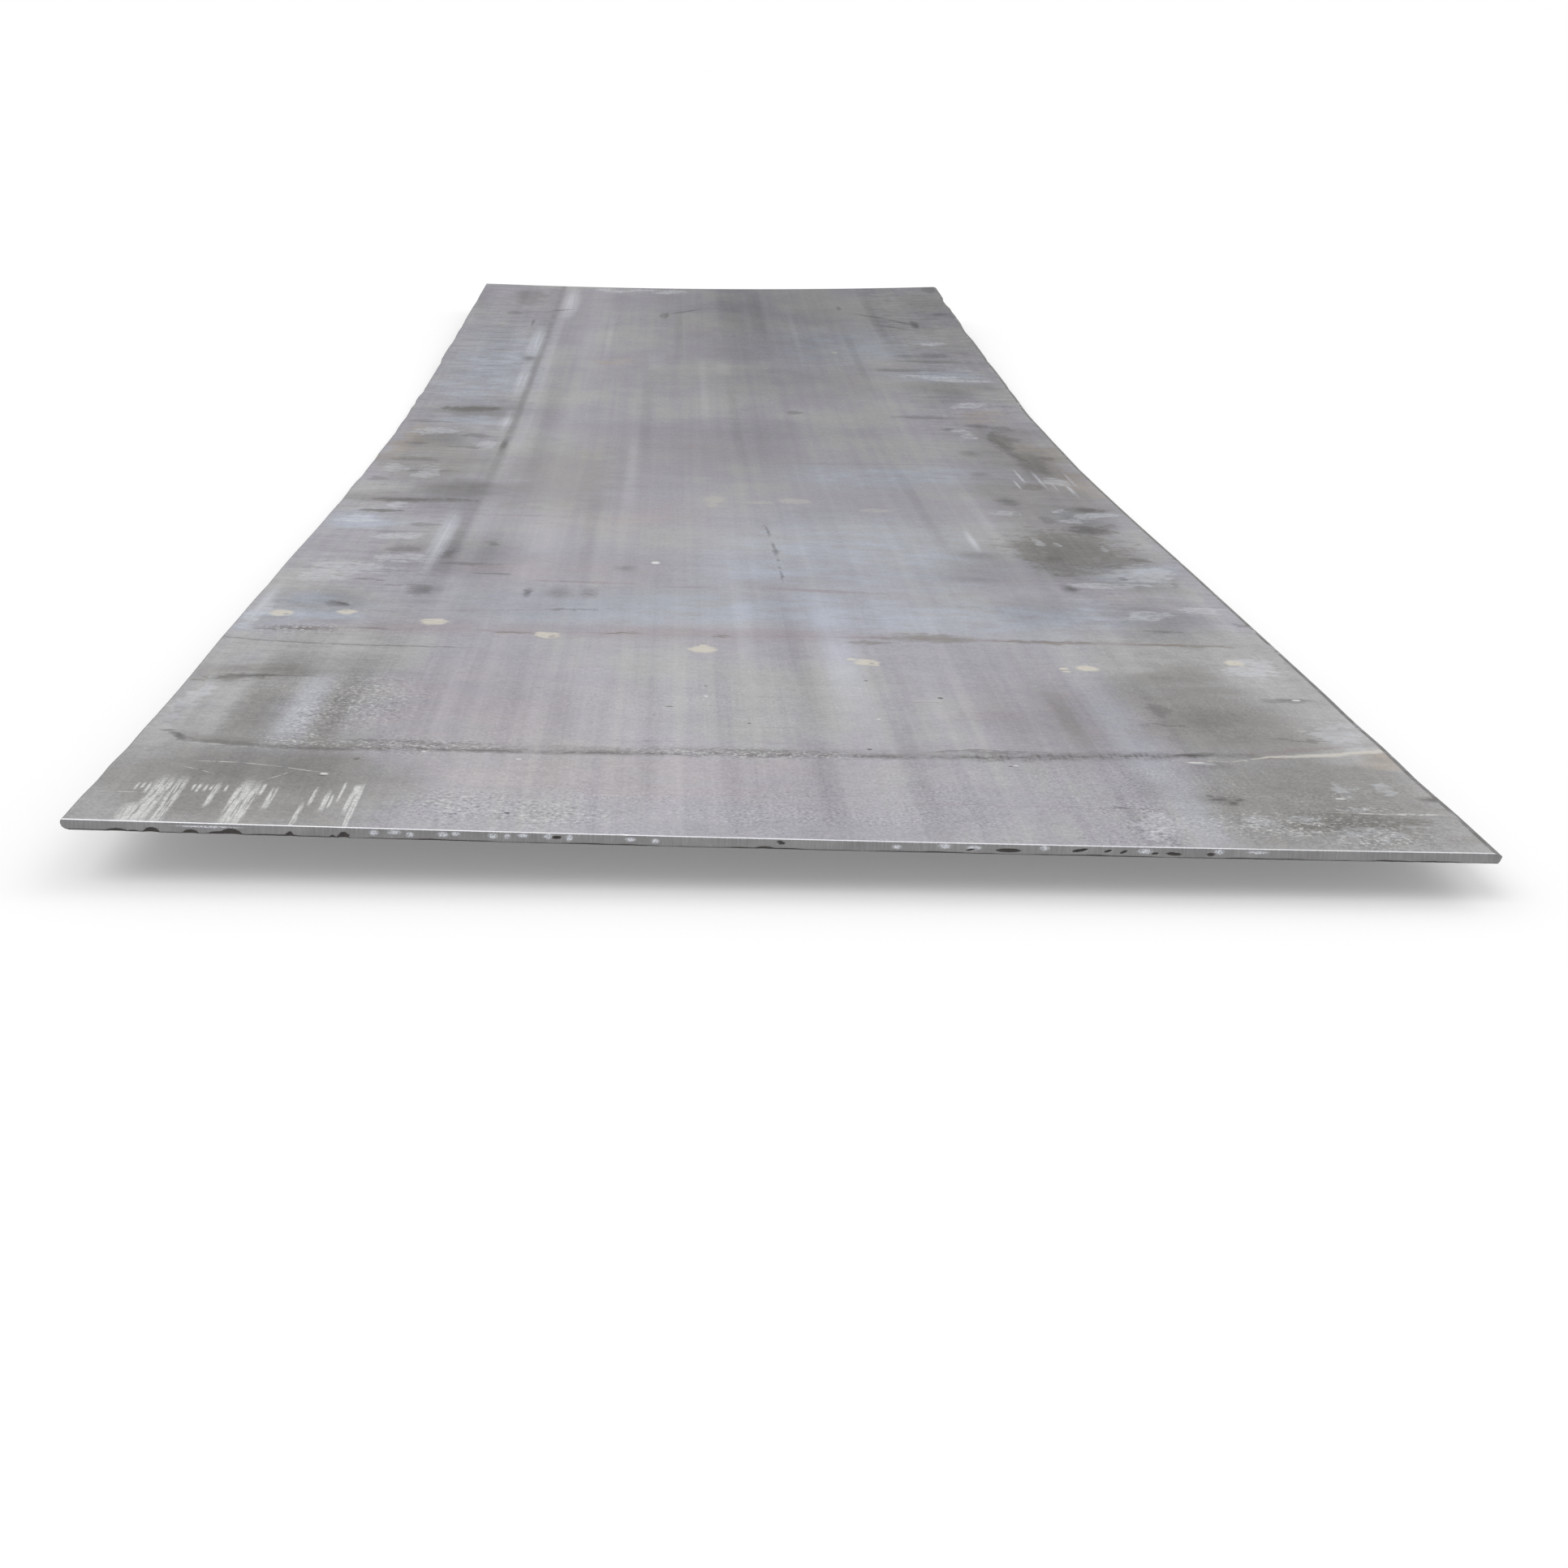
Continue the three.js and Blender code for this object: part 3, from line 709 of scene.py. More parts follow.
# Dim places with a soft outline, most of them round.
DIM_SPOTS = (
    (1269, 4548, 44, 64), (1280, 3010, 34, 74), (1270, 2722, 32, 62), (1282, 2356, 38, 96),
    (1264, 1448, 27, 62), (1147, 1738, 60, 66), (1244, 190, 40, 36), (1262, 342, 44, 30),
    (100, 1008, 80, 28), (1352, 3420, 40, 90), (1418, 2272, 60, 60), (1366, 1546, 16, 36),
    (232, 4372, 30, 70), (250, 1320, 40, 60), (450, 1322, 34, 76), (497, 1328, 24, 66),
    (548, 1546, 30, 42),
)
# Where the scale is pitted, and where white and dark flecks lie thick.
PITTED_AREAS = (
    (480, 90, 300, 170), (1130, 130, 180, 260), (1360, 90, 280, 180), (1130, 300, 320, 160),
    (180, 560, 220, 420), (620, 560, 420, 420), (330, 360, 460, 90), (1310, 260, 300, 300),
    (900, 120, 200, 160), (1320, 640, 260, 420), (740, 110, 260, 220), (600, 120, 260, 160),
)
SPECKLED_AREAS = (
    (1147, 70, 56, 150), (1262, 96, 60, 80), (1385, 50, 110, 100), (1395, 162, 60, 24),
    (185, 470, 40, 220), (190, 360, 70, 60), (700, 350, 300, 40), (480, 70, 160, 90),
    (100, 1010, 110, 60), (320, 350, 200, 50), (1384, 216, 20, 30), (400, 90, 120, 120),
    (450, 5890, 110, 110), (600, 5900, 130, 110), (240, 560, 120, 240), (1300, 90, 220, 90),
)
# Lengthwise, rolled into the scale: a few are white and most are only a little lighter or darker.
WHITE_STREAKS = (
    (229, 1790, 26, 430), (239, 4660, 36, 440), (238, 3990, 26, 440), (238, 3340, 24, 220),
    (1156, 1900, 12, 170), (1432, 2540, 7, 130), (1385, 2660, 6, 180), (1404, 2600, 4, 130),
    (1350, 2700, 5, 130), (1452, 2680, 5, 150), (1330, 2590, 4, 90), (300, 5560, 40, 520),
    (20, 1180, 14, 260),
)
LIGHT_STREAKS = (
    (284, 3000, 24, 900), (284, 4800, 24, 2200), (30, 620, 40, 560), (402, 2460, 50, 700),
    (30, 2800, 40, 700), (858, 900, 44, 640), (486, 4300, 44, 150), (578, 4330, 40, 280),
    (756, 4260, 36, 170), (290, 5650, 60, 600), (385, 2150, 110, 900), (380, 2800, 150, 900),
    (320, 5600, 150, 700), (1207, 2000, 26, 900), (1203, 150, 46, 260), (400, 2750, 120, 900),
    (440, 4800, 16, 900), (700, 3900, 18, 900), (540, 2700, 20, 900), (70, 660, 40, 440),
    (520, 620, 36, 420), (640, 700, 60, 360), (730, 1100, 26, 500), (980, 5000, 16, 900),
    (345, 600, 16, 420), (455, 560, 14, 360), (960, 640, 18, 420), (60, 5700, 60, 420),
    (180, 5650, 50, 500), (1455, 480, 80, 240), (1440, 860, 60, 200), (360, 4800, 90, 900),
    (640, 300, 70, 420), (400, 160, 90, 300), (1470, 1220, 50, 300), (575, 500, 70, 260),
)
DARK_STREAKS = (
    (117, 560, 50, 440), (212, 520, 34, 400), (800, 240, 24, 300), (1165, 240, 24, 200),
    (1110, 700, 26, 460), (800, 900, 22, 700), (600, 420, 20, 500), (490, 420, 20, 420),
    (1050, 500, 22, 600), (252, 1760, 28, 560), (330, 3300, 34, 900), (560, 3500, 22, 1200),
    (800, 5450, 70, 900), (880, 5400, 40, 900), (770, 3400, 22, 1200), (1100, 2200, 22, 900),
    (1130, 4500, 20, 900), (480, 1900, 24, 800), (640, 5000, 20, 900), (1240, 5300, 24, 900),
    (317, 1700, 30, 340), (1128, 100, 24, 200), (905, 300, 22, 420), (130, 4700, 60, 700),
    (1330, 1000, 90, 300), (1376, 2100, 60, 300),
)
BLUE_STREAKS = (
    (858, 980, 46, 600), (1187, 540, 50, 560), (174, 520, 42, 400), (1203, 150, 44, 260),
    (239, 4660, 34, 440), (229, 1790, 26, 430),
)

OLIVE_STREAKS = ((117, 500, 52, 300), (212, 490, 34, 330), (1265, 560, 80, 300), (1125, 560, 26, 260))

# Spots of dried lime, and the greyer hearts of some.
LIME_SPOTS = (
    (57, 1118, 36, 44), (149, 1136, 30, 30), (281, 1078, 38, 44), (449, 1000, 34, 40),
    (668, 928, 38, 42), (892, 866, 36, 40), (1197, 858, 32, 34), (1413, 914, 26, 32),
    (872, 884, 12, 14), (1165, 854, 12, 12), (1164, 836, 10, 12), (438, 1014, 16, 14),
    (668, 952, 12, 14), (903, 850, 12, 10), (705, 2310, 40, 90), (860, 2306, 60, 70),
    (700, 2240, 24, 60), (790, 2280, 60, 24), (1010, 2210, 60, 40), (1076, 4586, 14, 50),
)
LIME_HEARTS = ((456, 992, 10, 10), (899, 861, 8, 9), (1168, 846, 8, 8), (66, 1110, 10, 10))

# Lines across the plate, through stops in x and s: the dark one that dried near the front end, the
# scrape by its right part, the reddish one further back and a short dark one at the left edge.
TIDE_LINE = (
    (0, 422), (38, 394), (52, 364), (72, 346), (115, 338), (180, 324), (240, 324), (330, 334),
    (491, 334), (703, 344), (866, 350), (986, 356), (1084, 368), (1191, 378), (1273, 390),
    (1500, 404),
)
TIDE_SCRAPE = (
    (0, 350), (1230, 352), (1264, 361), (1290, 362), (1324, 376), (1342, 389), (1396, 397),
    (1432, 405), (1486, 428), (1500, 434),
)
RUST_LINE = (
    (0, 1036), (60, 1030), (110, 1018), (350, 1026), (600, 1022), (700, 1024), (880, 1034),
    (960, 1036), (1124, 1030), (1300, 1026), (1440, 1030), (1500, 1032),
)
SEAM_LINE = ((0, 940), (70, 918), (150, 906), (360, 902), (1500, 902))
FINE_LINES = strokes(
    (230, 1155, 520, 1195, 5), (899, 405, 968, 408, 3), (545, 398, 640, 401, 3),
    (790, 402, 725, 404, 3), (914, 632, 982, 636, 3), (740, 480, 800, 482, 3),
    (790, 540, 830, 541, 3), (720, 643, 790, 646, 3), (258, 277, 275, 277, 3),
    (760, 1400, 950, 1372, 22), (400, 1420, 560, 1412, 14), (60, 2900, 230, 2890, 12),
    (1000, 144, 1250, 146, 3), (600, 1390, 700, 1396, 9), (1325, 402, 1470, 452, 18),
    (860, 1170, 960, 1164, 6), (860, 150, 1000, 146, 3), (200, 2060, 420, 2070, 9),
    (870, 2820, 1200, 2850, 14), (180, 316, 285, 320, 3),
)
CRACKS = strokes(
    (792, 2000, 796, 1900, 5), (799, 1820, 800, 1760, 6), (800, 1775, 801, 1700, 7),
    (801, 1668, 801, 1646, 4), (801, 1594, 801, 1574, 4), (802, 1548, 802, 1470, 4),
    (599, 5250, 604, 5370, 14), (607, 5340, 706, 5470, 16), (1144, 5560, 1144, 5480, 12),
    (1192, 5392, 1280, 5280, 20), (1280, 5280, 1350, 5150, 22), (1216, 5184, 1336, 5056, 18),
    (240, 5360, 304, 5408, 16), (1345, 5120, 1347, 5230, 13), (255, 2925, 256, 3060, 11),
    (204, 5040, 204, 5150, 9),
)
SPECKS = (
    (451, 71, 6, 6), (247, 659, 4, 4), (973, 660, 8, 8), (860, 384, 6, 6), (883, 752, 5, 5),
    (669, 700, 4, 4), (622, 580, 11, 4), (1020, 318, 5, 4), (720, 500, 5, 5),
)
WHITE_SPECKS = (
    (240, 211, 9, 9), (669, 641, 5, 8), (339, 322, 6, 5), (202, 390, 6, 5), (450, 299, 7, 4),
    (883, 537, 5, 5), (1027, 322, 6, 5), (1447, 690, 12, 10), (597, 1604, 14, 24), (247, 655, 6, 6),
    (1246, 353, 22, 4), (1380, 204, 12, 6),
)

# Chalk that was dragged along the plate at its front left corner.
CHALK_DRAGS = tuple(
    (x, (start + stop) / 2, width, start - stop)
    for x, start, stop, width in (
        (75, 168, -12, 18), (66, 66, -12, 26), (94, 166, -12, 13), (50, 150, 124, 3), (56, 151, 130, 3),
        (62, 152, 112, 4), (84, 160, 120, 4), (110, 150, 126, 3), (116, 152, 120, 4),
        (123, 150, 126, 4), (129, 148, 130, 3), (135, 152, 66, 6), (145, 150, 126, 3),
        (159, 140, 36, 6), (165, 160, -12, 14), (176, 150, -12, 9), (184, 158, 116, 4),
        (197, 142, 66, 7), (234, 80, -12, 5), (241, 148, 84, 4), (256, 134, 54, 5), (262, 120, 72, 3),
        (269, 172, 100, 3), (281, 140, 58, 5), (288, 160, -12, 6), (284, 164, 124, 8),
    )
)
WHITE_SCRATCHES = strokes(
    (93, 252, 141, 250, 3), (141, 250, 180, 240, 2.2), (180, 240, 236, 216, 2),
    (86, 224, 118, 202, 2), (62, 338, 108, 329, 3), (133, 324, 160, 320, 2.6),
    (1420, 143, 1478, 145, 7), (1360, 146, 1420, 143, 4), (204, 218, 176, 170, 1.6),
    (10, 112, 70, 112, 2),
)


def mill_scale_top(start, stop):
    look = Look(f"mill_scale_top_{start:.0f}", start, stop)
    x, s, _ = look.place()

    # Outlines wander widely for areas, less for smears, lengthwise for streaks, finely for spots and
    # lines, and hardly at all for specks and chalk.
    warp_x, warp_s = look.noise(x, s, 110, 150, 1, 3) - 0.5, look.noise(x, s, 150, 110, 2, 3) - 0.5
    far = look.point(x + warp_x * 190, s + warp_s * 300)
    fray_x, fray_s = look.noise(x, s, 16, 16, 3, 3) - 0.5, look.noise(x, s, 18, 14, 4, 3) - 0.5
    middling = look.point(x + warp_x * 60 + fray_x * 30, s + warp_s * 70 + fray_s * 36)
    along = look.point(x + fray_x * 5, s + warp_s * 160 + fray_s * 40)
    near_x, near_s = x + fray_x * 16, s + fray_s * 18
    near = look.point(near_x, near_s)
    true = look.point(x + fray_x * 2.5, s + fray_s * 2.5)

    clouds = look.noise(x, s, 260, 380, 5, 3, 0.55)
    patches = look.noise(x, s, 80, 60, 6, 4, 0.62)
    mottle = look.noise(x, s, 13, 11, 12, 3, 0.65)
    blotches = look.noise(x, s, 46, 34, 17, 4, 0.68)
    drags = look.noise(x + warp_x * 40, s + x * 0.03, 170, 20, 7, 3, 0.6)
    grain = look.noise(x, s, 3.4, 4.0, 8, 3, 0.75)
    brushing = look.noise(x, s, 4, 600, 9, 3, 0.6)
    rolling = look.noise(x, s, 22, 2200, 10, 3, 0.6)
    pits = look.noise(x, s, 4.2, 4.6, 16, 2, 0.7)
    pitted = look.marks(far, PITTED_AREAS)
    pits = (pits - 0.5) * (0.35 + 0.65 * patches.rise(0.4, 0.6)) * pitted

    streak_x = x / WIDTH + warp_x * 0.008
    front = look.curve(streak_x, FRONT_STREAKS)
    rear = look.curve(streak_x, REAR_STREAKS)
    streaks = front + (rear - front) * s.rise(800, 1600)
    border = abs(x - HALF_WIDTH).rise(400, 560)
    close, far_off = s.rise(1300, 700), s.rise(2500, 4200)

    # The lightness holds painted shade: lighter at the front end, darker towards the rear and darker
    # still at the rear right.
    light = (
        1.06
        + s.rise(700, 100) * 0.05
        - s.rise(1200, 5000) * (0.23 + 0.08 * x.rise(300, 900))
        - s.rise(3600, 5400) * x.rise(500, 950) * 0.12
        + (streaks - 0.5) * 0.5
        + (rolling - 0.5) * (0.22 + 0.1 * close - 0.08 * far_off)
        + (brushing - 0.5) * (0.14 + 0.1 * close)
        + (clouds - 0.5) * (0.24 + 0.14 * far_off)
        + (patches - 0.5) * (0.18 + 0.08 * close + border * 0.18)
        + (mottle - 0.5) * (0.22 + 0.12 * close + border * 0.12)
        + (drags - 0.5) * (0.12 + border * s.rise(900, 1600) * 0.3)
        + (blotches - 0.5) * (0.1 + border * 0.34)
        + (grain - 0.5) * (0.65 + 0.35 * s.rise(450, 150))
        + pits * (1.1 + 0.7 * s.rise(450, 150))
        + look.marks(along, LIGHT_STREAKS, 0.7, boxy=True) * 0.1
        - look.marks(along, DARK_STREAKS, 0.7, boxy=True) * 0.1
    )
    light = light * (1 - look.marks(far, DIM_AREAS, 0.95) * 0.13)
    light = light * (1 - look.marks(middling, DEEP_AREAS, 0.95) * 0.2)

    # Whatever has a clear outline frays along it.
    fray = (blotches - 0.5) * 1.7 + (mottle - 0.5) * 0.9 + (drags - 0.5) * 0.7
    greyer = clouds + (rolling - 0.5) * 0.4 + border * 0.2 * s.rise(1400, 800)
    look.colour = look.mix(greyer.rise(0.4, 0.68), SCALE_VIOLET, SCALE_GREY)
    breaks = (patches + (streaks - 0.5) * 0.5).rise(0.34, 0.62)
    look.cover(look.marks(far, PINK_AREAS) * 0.55 * breaks, TINT_PINK)
    look.cover(look.marks(far, TAN_AREAS) * 0.6 * breaks, TAN)
    look.cover(look.marks(far, BLUE_AREAS, 0.8) * (0.35 + 0.55 * breaks), SCALE_BLUE)
    look.cover(look.marks(along, BLUE_STREAKS, 0.7, boxy=True) * 0.4, SCALE_BLUE)
    olive = (look.marks(far, OLIVE_AREAS) + fray * 0.6).rise(0.15, 1.0)
    olive = (olive * 0.5).most(look.marks(along, OLIVE_STREAKS, 0.8, boxy=True) * 0.45)
    look.cover(olive, SCALE_OLIVE)
    patch = (look.marks(middling, OLIVE_PATCHES) + fray).rise(0.35, 0.85)
    patch = patch * (0.62 + (mottle - 0.5) * 1.2 + (brushing - 0.5) * 0.5)
    look.cover(patch, SCALE_DULL)
    smears = (look.marks(middling, DARK_SMEARS) + fray).rise(0.42, 0.85)
    look.cover(smears * 0.42, SCALE_DARK)
    dim = look.marks(near, DIM_SPOTS) * (0.7 + (mottle - 0.5) * 1.6)
    look.cover(dim * 0.5, SCALE_DARK)
    look.colour = look.shade(look.colour, light)
    pale = (look.marks(middling, PALE_SMEARS) + fray).rise(0.45, 0.85)
    pale = pale * (0.5 + 0.5 * mottle.rise(0.4, 0.6))
    white = look.marks(along, WHITE_STREAKS) * (brushing + mottle * 0.4).rise(0.3, 0.8)
    look.cover((pale * 0.38).most(white * 0.55), PALE_SCUFF)

    # The line beside the left edge that a roll has left all along, and the lines that dried across.
    groove = abs(near_x * 0.15 + x * 0.85 - 253 - s * 0.0012).rise(14, 2)
    groove = groove * s.rise(1350, 1700) * (0.2 + 0.12 * s.rise(2500, 3000))
    groove = groove * (clouds + patches).rise(0.74, 1.1)
    look.cover(groove, SCALE_DARK)
    ticks = (look.noise(x, s, 4.2, 60, 13, 4, 0.7) + (mottle - 0.5) * 0.5).rise(0.48, 0.62)
    ticks = ticks * x.span(985, 1200, 40)
    tide = look.line(x, s + fray_s * 14, TIDE_LINE, 20 + 14 * x.span(1000, 1190, 40))
    tide = tide * x.span(60, 1320, 20)
    band = look.line(x, near_s - 12, TIDE_LINE, 40, 0.6) * x.span(70, 1010, 40)
    band = band * (patches + mottle + brushing * 0.4).rise(0.9, 1.45)
    look.cover(band * 0.5, SCALE_OLIVE)
    broken = (patches + mottle * 1.4).rise(0.98, 1.36)
    look.cover(tide * (0.16 + 0.34 * ticks + 0.3 * broken), SCALE_DARK)
    core = look.line(x, s + fray_s * 8, TIDE_LINE, 5, 0.9) * (patches + mottle).rise(0.84, 1.1)
    look.cover(core * 0.36 * x.span(170, 1260, 20), SCALE_DARK)
    scrape = look.line(x, near_s, TIDE_SCRAPE, 5 + 9 * x.rise(1320, 1400), 0.9)
    scrape = scrape * x.rise(1230, 1250) * (mottle + x.rise(1300, 1400)).rise(0.4, 0.6)
    look.cover(scrape * 0.6, SCRAPED)
    fringe = look.line(x, near_s + 12, TIDE_LINE, 9) * mottle.rise(0.44, 0.62)
    look.cover(fringe * 0.14 * x.rise(1000, 300), PALE_SCUFF)
    stained = x.span(400, 860, 60).most(x.span(60, 330, 40) * 0.7)
    stain = look.line(x, near_s - 14, RUST_LINE, 84) * stained
    rust = look.line(x, near_s + (drags - 0.5) * 12, RUST_LINE, 15) * x.span(50, 1430, 20)
    rust = rust * (patches + drags * 0.6 + mottle * 0.5).rise(0.8, 1.25)
    look.cover((stain * 0.22).most(rust * 0.4), STAIN_RED)
    rusty = look.marks(middling, RUST_PATCHES) + fray * 0.8 + (mottle - 0.5) * 0.6
    look.cover(rusty.rise(0.2, 1.0) * 0.52, RUST_OLIVE)
    seam = look.line(x, near_s, SEAM_LINE, 7) * x.rise(370, 300)
    look.cover(seam * 0.45, SCALE_DARK)
    lines = look.marks(near, FINE_LINES, 0.6) * (mottle + patches * 0.5).rise(0.5, 0.8)
    look.cover(lines * 0.36, STAIN_RED)
    look.cover(look.marks(near, CRACKS, 0.8) * 0.46, SOOT)
    look.cover(look.marks(near, SOOT_SMUDGES, 0.8) * 0.55, SOOT)

    # Spots, specks and dust.
    lime = look.marks(near, LIME_SPOTS, 0.3) * (mottle + patches * 0.4).rise(0.42, 0.66)
    lime_tone = look.mix(look.marks(near, LIME_HEARTS, 0.6), LIME_CREAM, LIME_GREY)
    look.cover(lime * (0.72 - 0.5 * s.rise(1200, 2200)), lime_tone)
    look.cover(look.marks(true, SPECKS, 0.3) * 0.75, SOOT)
    speckled = look.marks(near, SPECKLED_AREAS)
    flecks = look.noise(x, s, 5, 5, 14, 2)
    dust = flecks.rise(0.7, 0.77) * (patches + clouds * 0.5).rise(0.68, 0.9)
    dust = dust * s.span(0, 1100, 300) * 0.5
    dust = dust.most(flecks.rise(0.56, 0.66) * speckled * 0.7)
    look.cover(look.marks(true, WHITE_SPECKS, 0.3).most(dust) * 0.85, CHALK)
    look.cover(flecks.rise(0.43, 0.34) * speckled * 0.5, SCALE_DARK)

    # Chalk and scratches.
    threads = look.noise(x, s, 2.0, 70, 15, 3, 0.6).rise(0.36, 0.5)
    chalk = look.marks(true, CHALK_DRAGS, 0.4, boxy=True) * threads
    chalk = chalk * (0.55 + 0.45 * grain.rise(0.4, 0.56))
    scratch = look.marks(true, WHITE_SCRATCHES, 0.6) * mottle.rise(0.36, 0.52)
    look.cover(chalk.most(scratch * 0.8) * 0.85, CHALK)

    roughness = 0.68 + (patches - 0.5) * 0.25 + (brushing - 0.5) * 0.2 + lime * 0.2
    height = grain * 0.6 + brushing * 0.3 + lime * 0.4 + pits * 3
    return look.finish(roughness, height, depth=0.07, metallic=0.15, specular=0.1)


def mill_scale_underside():
    look = Look("mill_scale_underside")
    x, s, _ = look.place()
    clouds = look.noise(x, s, 300, 500, 21, 4, 0.6)
    patches = look.noise(x, s, 90, 90, 22, 4, 0.6)
    rolling = look.noise(x, s, 20, 2400, 23, 3, 0.6)
    grain = look.noise(x, s, 2.6, 3.4, 24, 3, 0.7)
    drags = look.noise(x + (clouds - 0.5) * 60, s, 26, 300, 25, 4, 0.65)
    light = (
        0.86
        + (clouds - 0.5) * 0.4
        + (patches - 0.5) * 0.4
        + (rolling - 0.5) * 0.35
        + (grain - 0.5) * 0.3
    )
    look.colour = look.mix(clouds.rise(0.35, 0.65), SCALE_VIOLET, SCALE_GREY)
    look.cover((patches + clouds * 0.5).rise(0.8, 1.0) * 0.5, SCALE_OLIVE)
    look.cover((clouds + drags).rise(1.08, 1.22) * 0.4, SCALE_BLUE)
    look.cover((patches + drags).rise(0.86, 0.72) * 0.45, SCALE_DARK)
    look.colour = look.shade(look.colour, light)
    scuffs = (drags + patches * 0.5).rise(0.88, 0.98) * grain.rise(0.4, 0.56)
    look.cover(scuffs * 0.5, PALE_SCUFF)
    roughness = 0.68 + (patches - 0.5) * 0.25 - scuffs * 0.1
    return look.finish(roughness, grain, depth=0.06, metallic=0.15, specular=0.1)


def rolled_edge():
    look = Look("rolled_edge")
    _, s, z = look.place()
    scale = look.noise(s, z, 18, 7, 31, 4, 0.6)
    grain = look.noise(s, z, 2.2, 2.2, 32, 3, 0.7)
    # The edges' dark greys are the scale's own tone, darkened with painted shade because the edges
    # stand upright.
    look.colour = look.mix(scale.rise(0.35, 0.65), tone(92, 90, 88), tone(128, 126, 125))
    look.colour = look.shade(look.colour, 0.9 + (grain - 0.5) * 0.4)
    rubbed = look.noise(s, z, 60, 9, 33, 4, 0.65).rise(0.58, 0.68)
    look.cover(rubbed * 0.45, PALE_SCUFF)
    height = scale * 0.6 + grain * 0.4
    return look.finish(0.6 + (scale - 0.5) * 0.3, height, depth=0.25, metallic=0.3)


# On the sheared ends: x and height, and the size in both.
PALE_SCUFFS = (
    (319, 7, 9, 5), (340, 8, 12, 4), (356, 6, 7, 5), (390, 7, 10, 5), (403, 8, 8, 4), (441, 7, 9, 5),
    (456, 7, 6, 5), (472, 8, 10, 4), (498, 8, 9, 5), (520, 7, 7, 6), (583, 7, 10, 4), (609, 6, 7, 5),
    (910, 8, 12, 5), (941, 7, 14, 4), (1015, 8, 9, 5), (1121, 7, 14, 5), (1199, 8, 9, 5),
    (1240, 8, 20, 3), (860, 6, 9, 4), (150, 8, 60, 2),
)


def sheared_end():
    look = Look("sheared_end")
    x, _, _ = look.place()
    up = look.attribute("up")
    depth = look.attribute("depth")
    combed = look.noise(x, up, 1.3, 16, 41, 3, 0.65)
    waves = look.noise(x, up, 60, 30, 42, 3)
    grain = look.noise(x, up, 1.6, 1.6, 43, 3, 0.7)
    # The cut face's grey is the bare steel's own, darkened with painted shade because the face stands
    # upright.
    cut = look.shade(tone(134, 133, 134), 1 + (combed - 0.5) * 0.6 + (waves - 0.5) * 0.6)
    scuffs = look.marks(look.point(x + (grain - 0.5) * 5, up + (grain - 0.5) * 3), PALE_SCUFFS, 0.5)
    cut = look.mix(scuffs * grain.rise(0.36, 0.56), cut, PALE_SCUFF)
    torn = look.shade(tone(80, 77, 75), 1 + (grain - 0.5) * 0.9)
    # What lies deep is torn steel, up to the arris: its own dull tone, darkened with painted shade for
    # the recess.
    torn_and_shade = depth.rise(0.02, 0.3) * up.rise(10.4, 9.6)
    look.colour = look.mix(torn_and_shade, cut, torn)
    # The arris is burnished steel with a near-white painted highlight along it.
    burnish_and_highlight = (up + (combed - 0.5) * 0.8).rise(10.7, 11.3)
    look.cover(burnish_and_highlight, tone(222, 223, 227))
    roughness = 0.45 + torn_and_shade * 0.4
    height = combed * 0.5 + grain * 0.5
    return look.finish(roughness, height, depth=0.12, metallic=0.5)


# ---- The piece, the stage, the lights and the camera ----
IMAGE_PIXELS = 1932  # the photograph is square
FOCAL_PIXELS = 3077.6
SENSOR_WIDTH = 36.0
CAMERA_PLACE = (-132.9, -5469.7, 843.5)
CAMERA_PITCH, CAMERA_ROLL, CAMERA_YAW = 16.232, 1.689, -2.855  # degrees, the pitch down
CAMERA_REACH = 200  # metres

FLOOR_SIZE = 160000
FLOOR_GAP = 0.4  # keeps the floor from touching the belly
FLOOR_WHITE = 0.8
FLOOR_ROUGHNESS = 0.9
FLOOR_GLOW = 0.21  # what the camera sees on top of the floor's own white
SKY_STRENGTH = 0.7
SUN_ANGLE = 40  # degrees across, for soft shadows


def dress_plate():
    plate = skin_object(build_skin())
    tops = [mill_scale_top(start, stop) for start, stop in zip(STRETCHES, STRETCHES[1:])]
    for material in (*tops, mill_scale_underside(), rolled_edge(), sheared_end()):
        plate.data.materials.append(material)
    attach(plate, "root")
    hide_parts(NODE)


def seen_itself(tree):
    """1 where the camera, a reflection or a view through glass meets the stage, and 0 elsewhere."""
    path = tree.nodes.new("ShaderNodeLightPath")
    names = ("Is Camera Ray", "Is Glossy Ray", "Is Transmission Ray")
    camera, glossy, through = (Field(tree, path.outputs[name]) for name in names)
    return camera.most(glossy).most(through)


def white_floor():
    """A white floor that shows the plate's shadow and blends into the white background."""
    bpy.ops.mesh.primitive_plane_add(size=FLOOR_SIZE * MM, location=(0, 0, -FLOOR_GAP * MM))
    floor = bpy.context.object
    floor.name = "floor"
    look = Look("floor_white")
    white = {"Base Color": (*[FLOOR_WHITE] * 3, 1), "Emission Color": (1, 1, 1, 1)}
    white |= {"Roughness": FLOOR_ROUGHNESS, "Specular IOR Level": 0.0}
    look.fill(look.shader, white | {"Emission Strength": seen_itself(look) * FLOOR_GLOW})
    floor.data.materials.append(look.material)


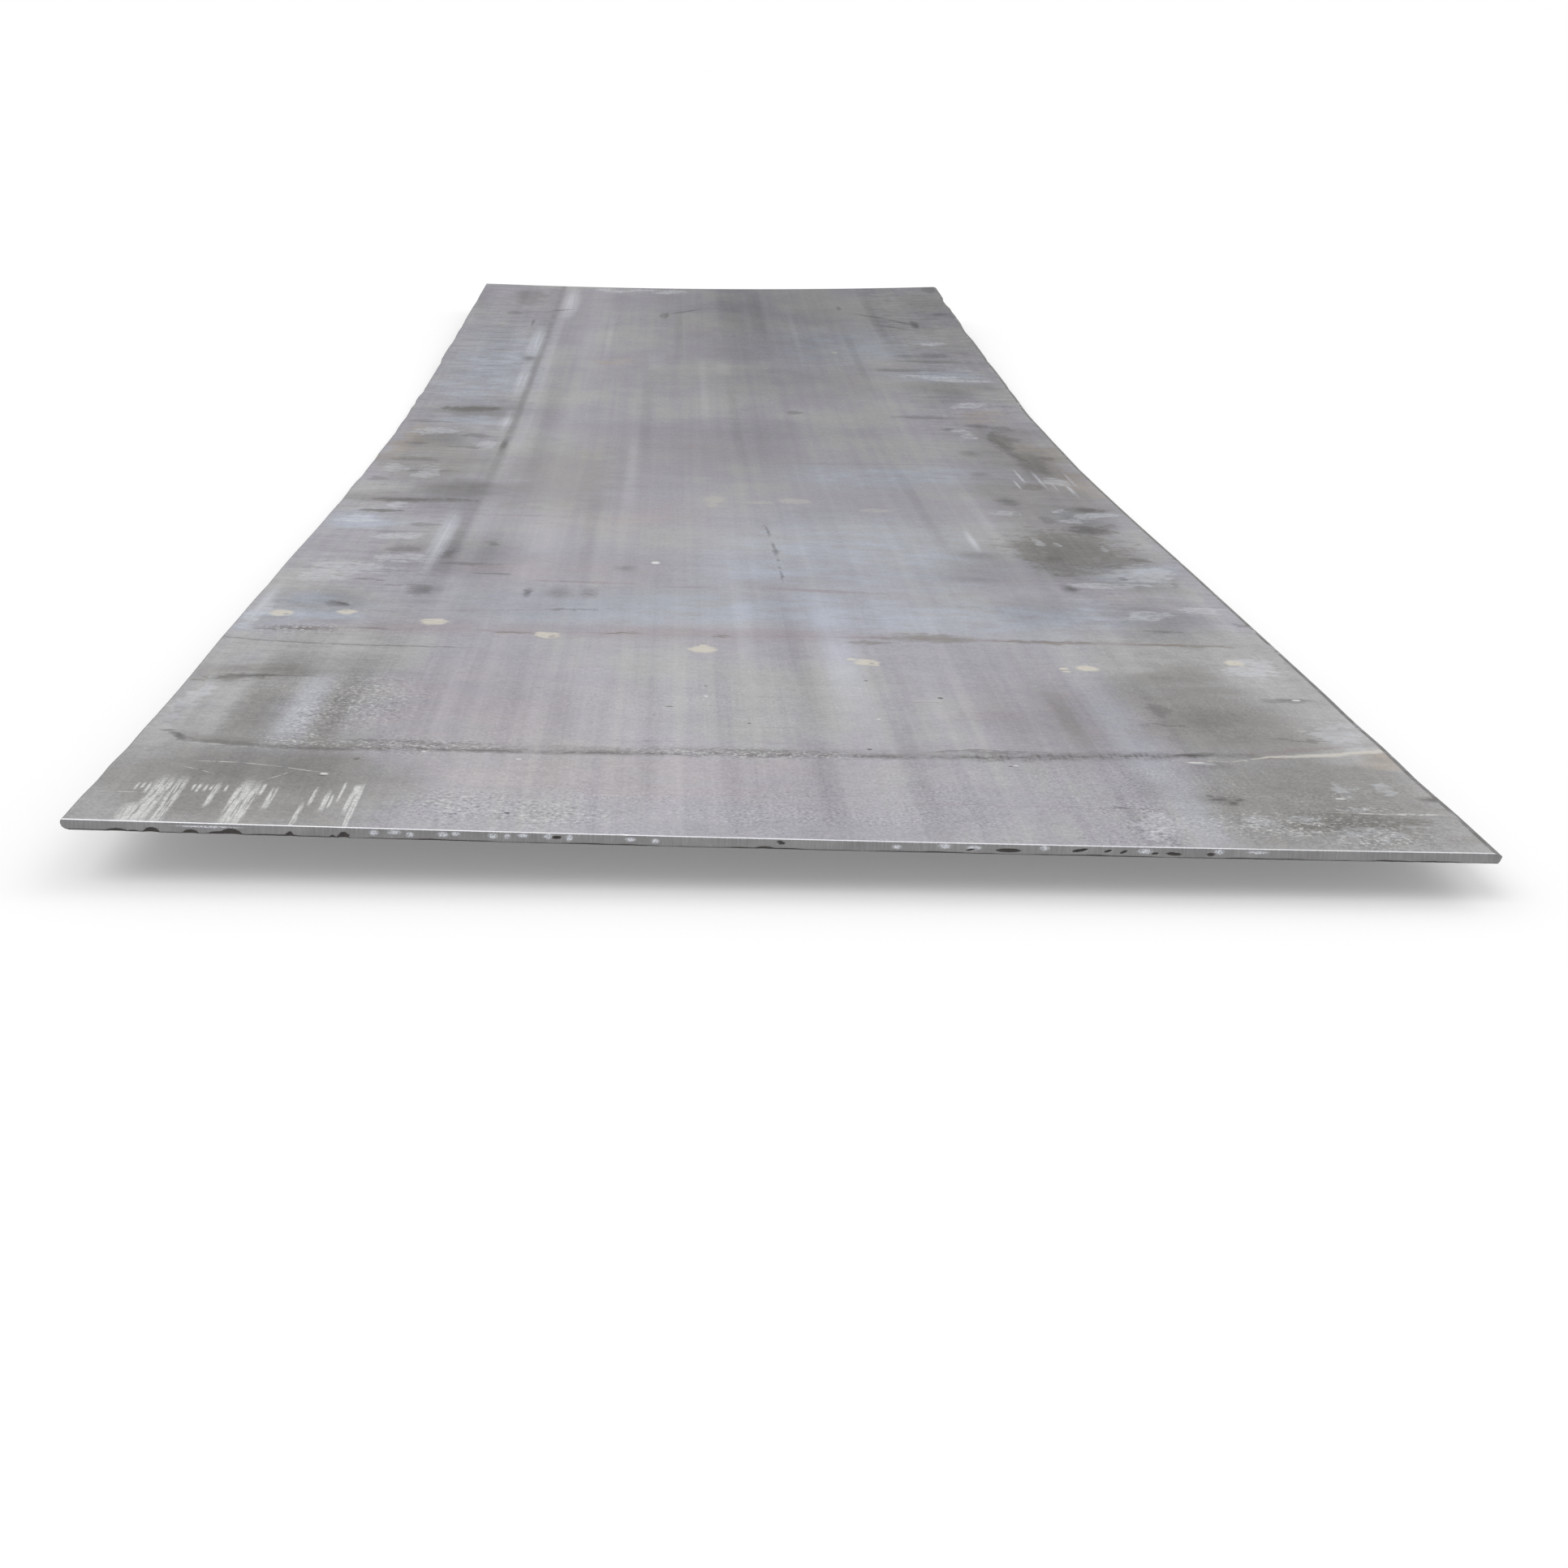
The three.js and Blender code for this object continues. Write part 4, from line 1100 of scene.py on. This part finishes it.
def white_world():
    """A soft white sky. What the camera and reflections see of it is plain white."""
    world = bpy.data.worlds.new("studio")
    bpy.context.scene.world = world
    world.use_nodes = True
    tree = Tree(world.node_tree)
    strength = seen_itself(tree) * (1 - SKY_STRENGTH) + SKY_STRENGTH
    tree.fill(tree.nodes["Background"], {"Color": (1, 1, 1, 1), "Strength": strength})


def soft_sun(name, azimuth, elevation, strength):
    """A large soft lamp, far away, that shines from an azimuth and an elevation, both in degrees."""
    lamp = bpy.data.lights.new(name, "SUN")
    lamp.angle = math.radians(SUN_ANGLE)
    lamp.energy = strength * math.pi
    turn, tilt = math.radians(azimuth), math.radians(elevation)
    ahead = Vector((math.sin(turn), -math.cos(turn), 0))
    towards = ahead * math.cos(tilt) + Vector((0, 0, math.sin(tilt)))
    added(name, lamp).rotation_euler = towards.to_track_quat("Z", "Y").to_euler()


def photo_camera():
    """The photograph's camera: its place, three turns and lens, in the part's own frame."""
    yaw, pitch, roll = (math.radians(turn) for turn in (CAMERA_YAW, CAMERA_PITCH, CAMERA_ROLL))
    right = Vector((math.cos(yaw), math.sin(yaw), 0))
    ahead = Vector((-math.sin(yaw), math.cos(yaw), 0))
    forward = ahead * math.cos(pitch) - Vector((0, 0, math.sin(pitch)))
    down = -ahead * math.sin(pitch) - Vector((0, 0, math.cos(pitch)))
    axis_x = right * math.cos(roll) - down * math.sin(roll)
    axis_y = -(right * math.sin(roll) + down * math.cos(roll))
    camera = bpy.data.cameras.new("photo_camera")
    camera.sensor_width = SENSOR_WIDTH
    camera.lens = FOCAL_PIXELS / IMAGE_PIXELS * SENSOR_WIDTH
    camera.clip_end = CAMERA_REACH
    turn = Matrix((axis_x, axis_y, -forward)).transposed().to_4x4()
    bpy.context.scene.camera = added("photo_camera", camera)
    bpy.context.scene.camera.matrix_world = Matrix.Translation(Vector(CAMERA_PLACE) * MM) @ turn


dress_plate()
white_floor()
white_world()
soft_sun("key", -40, 50, 0.3)
soft_sun("fill", 120, 55, 0.1)
photo_camera()
bpy.context.scene.view_settings.view_transform = "Standard"
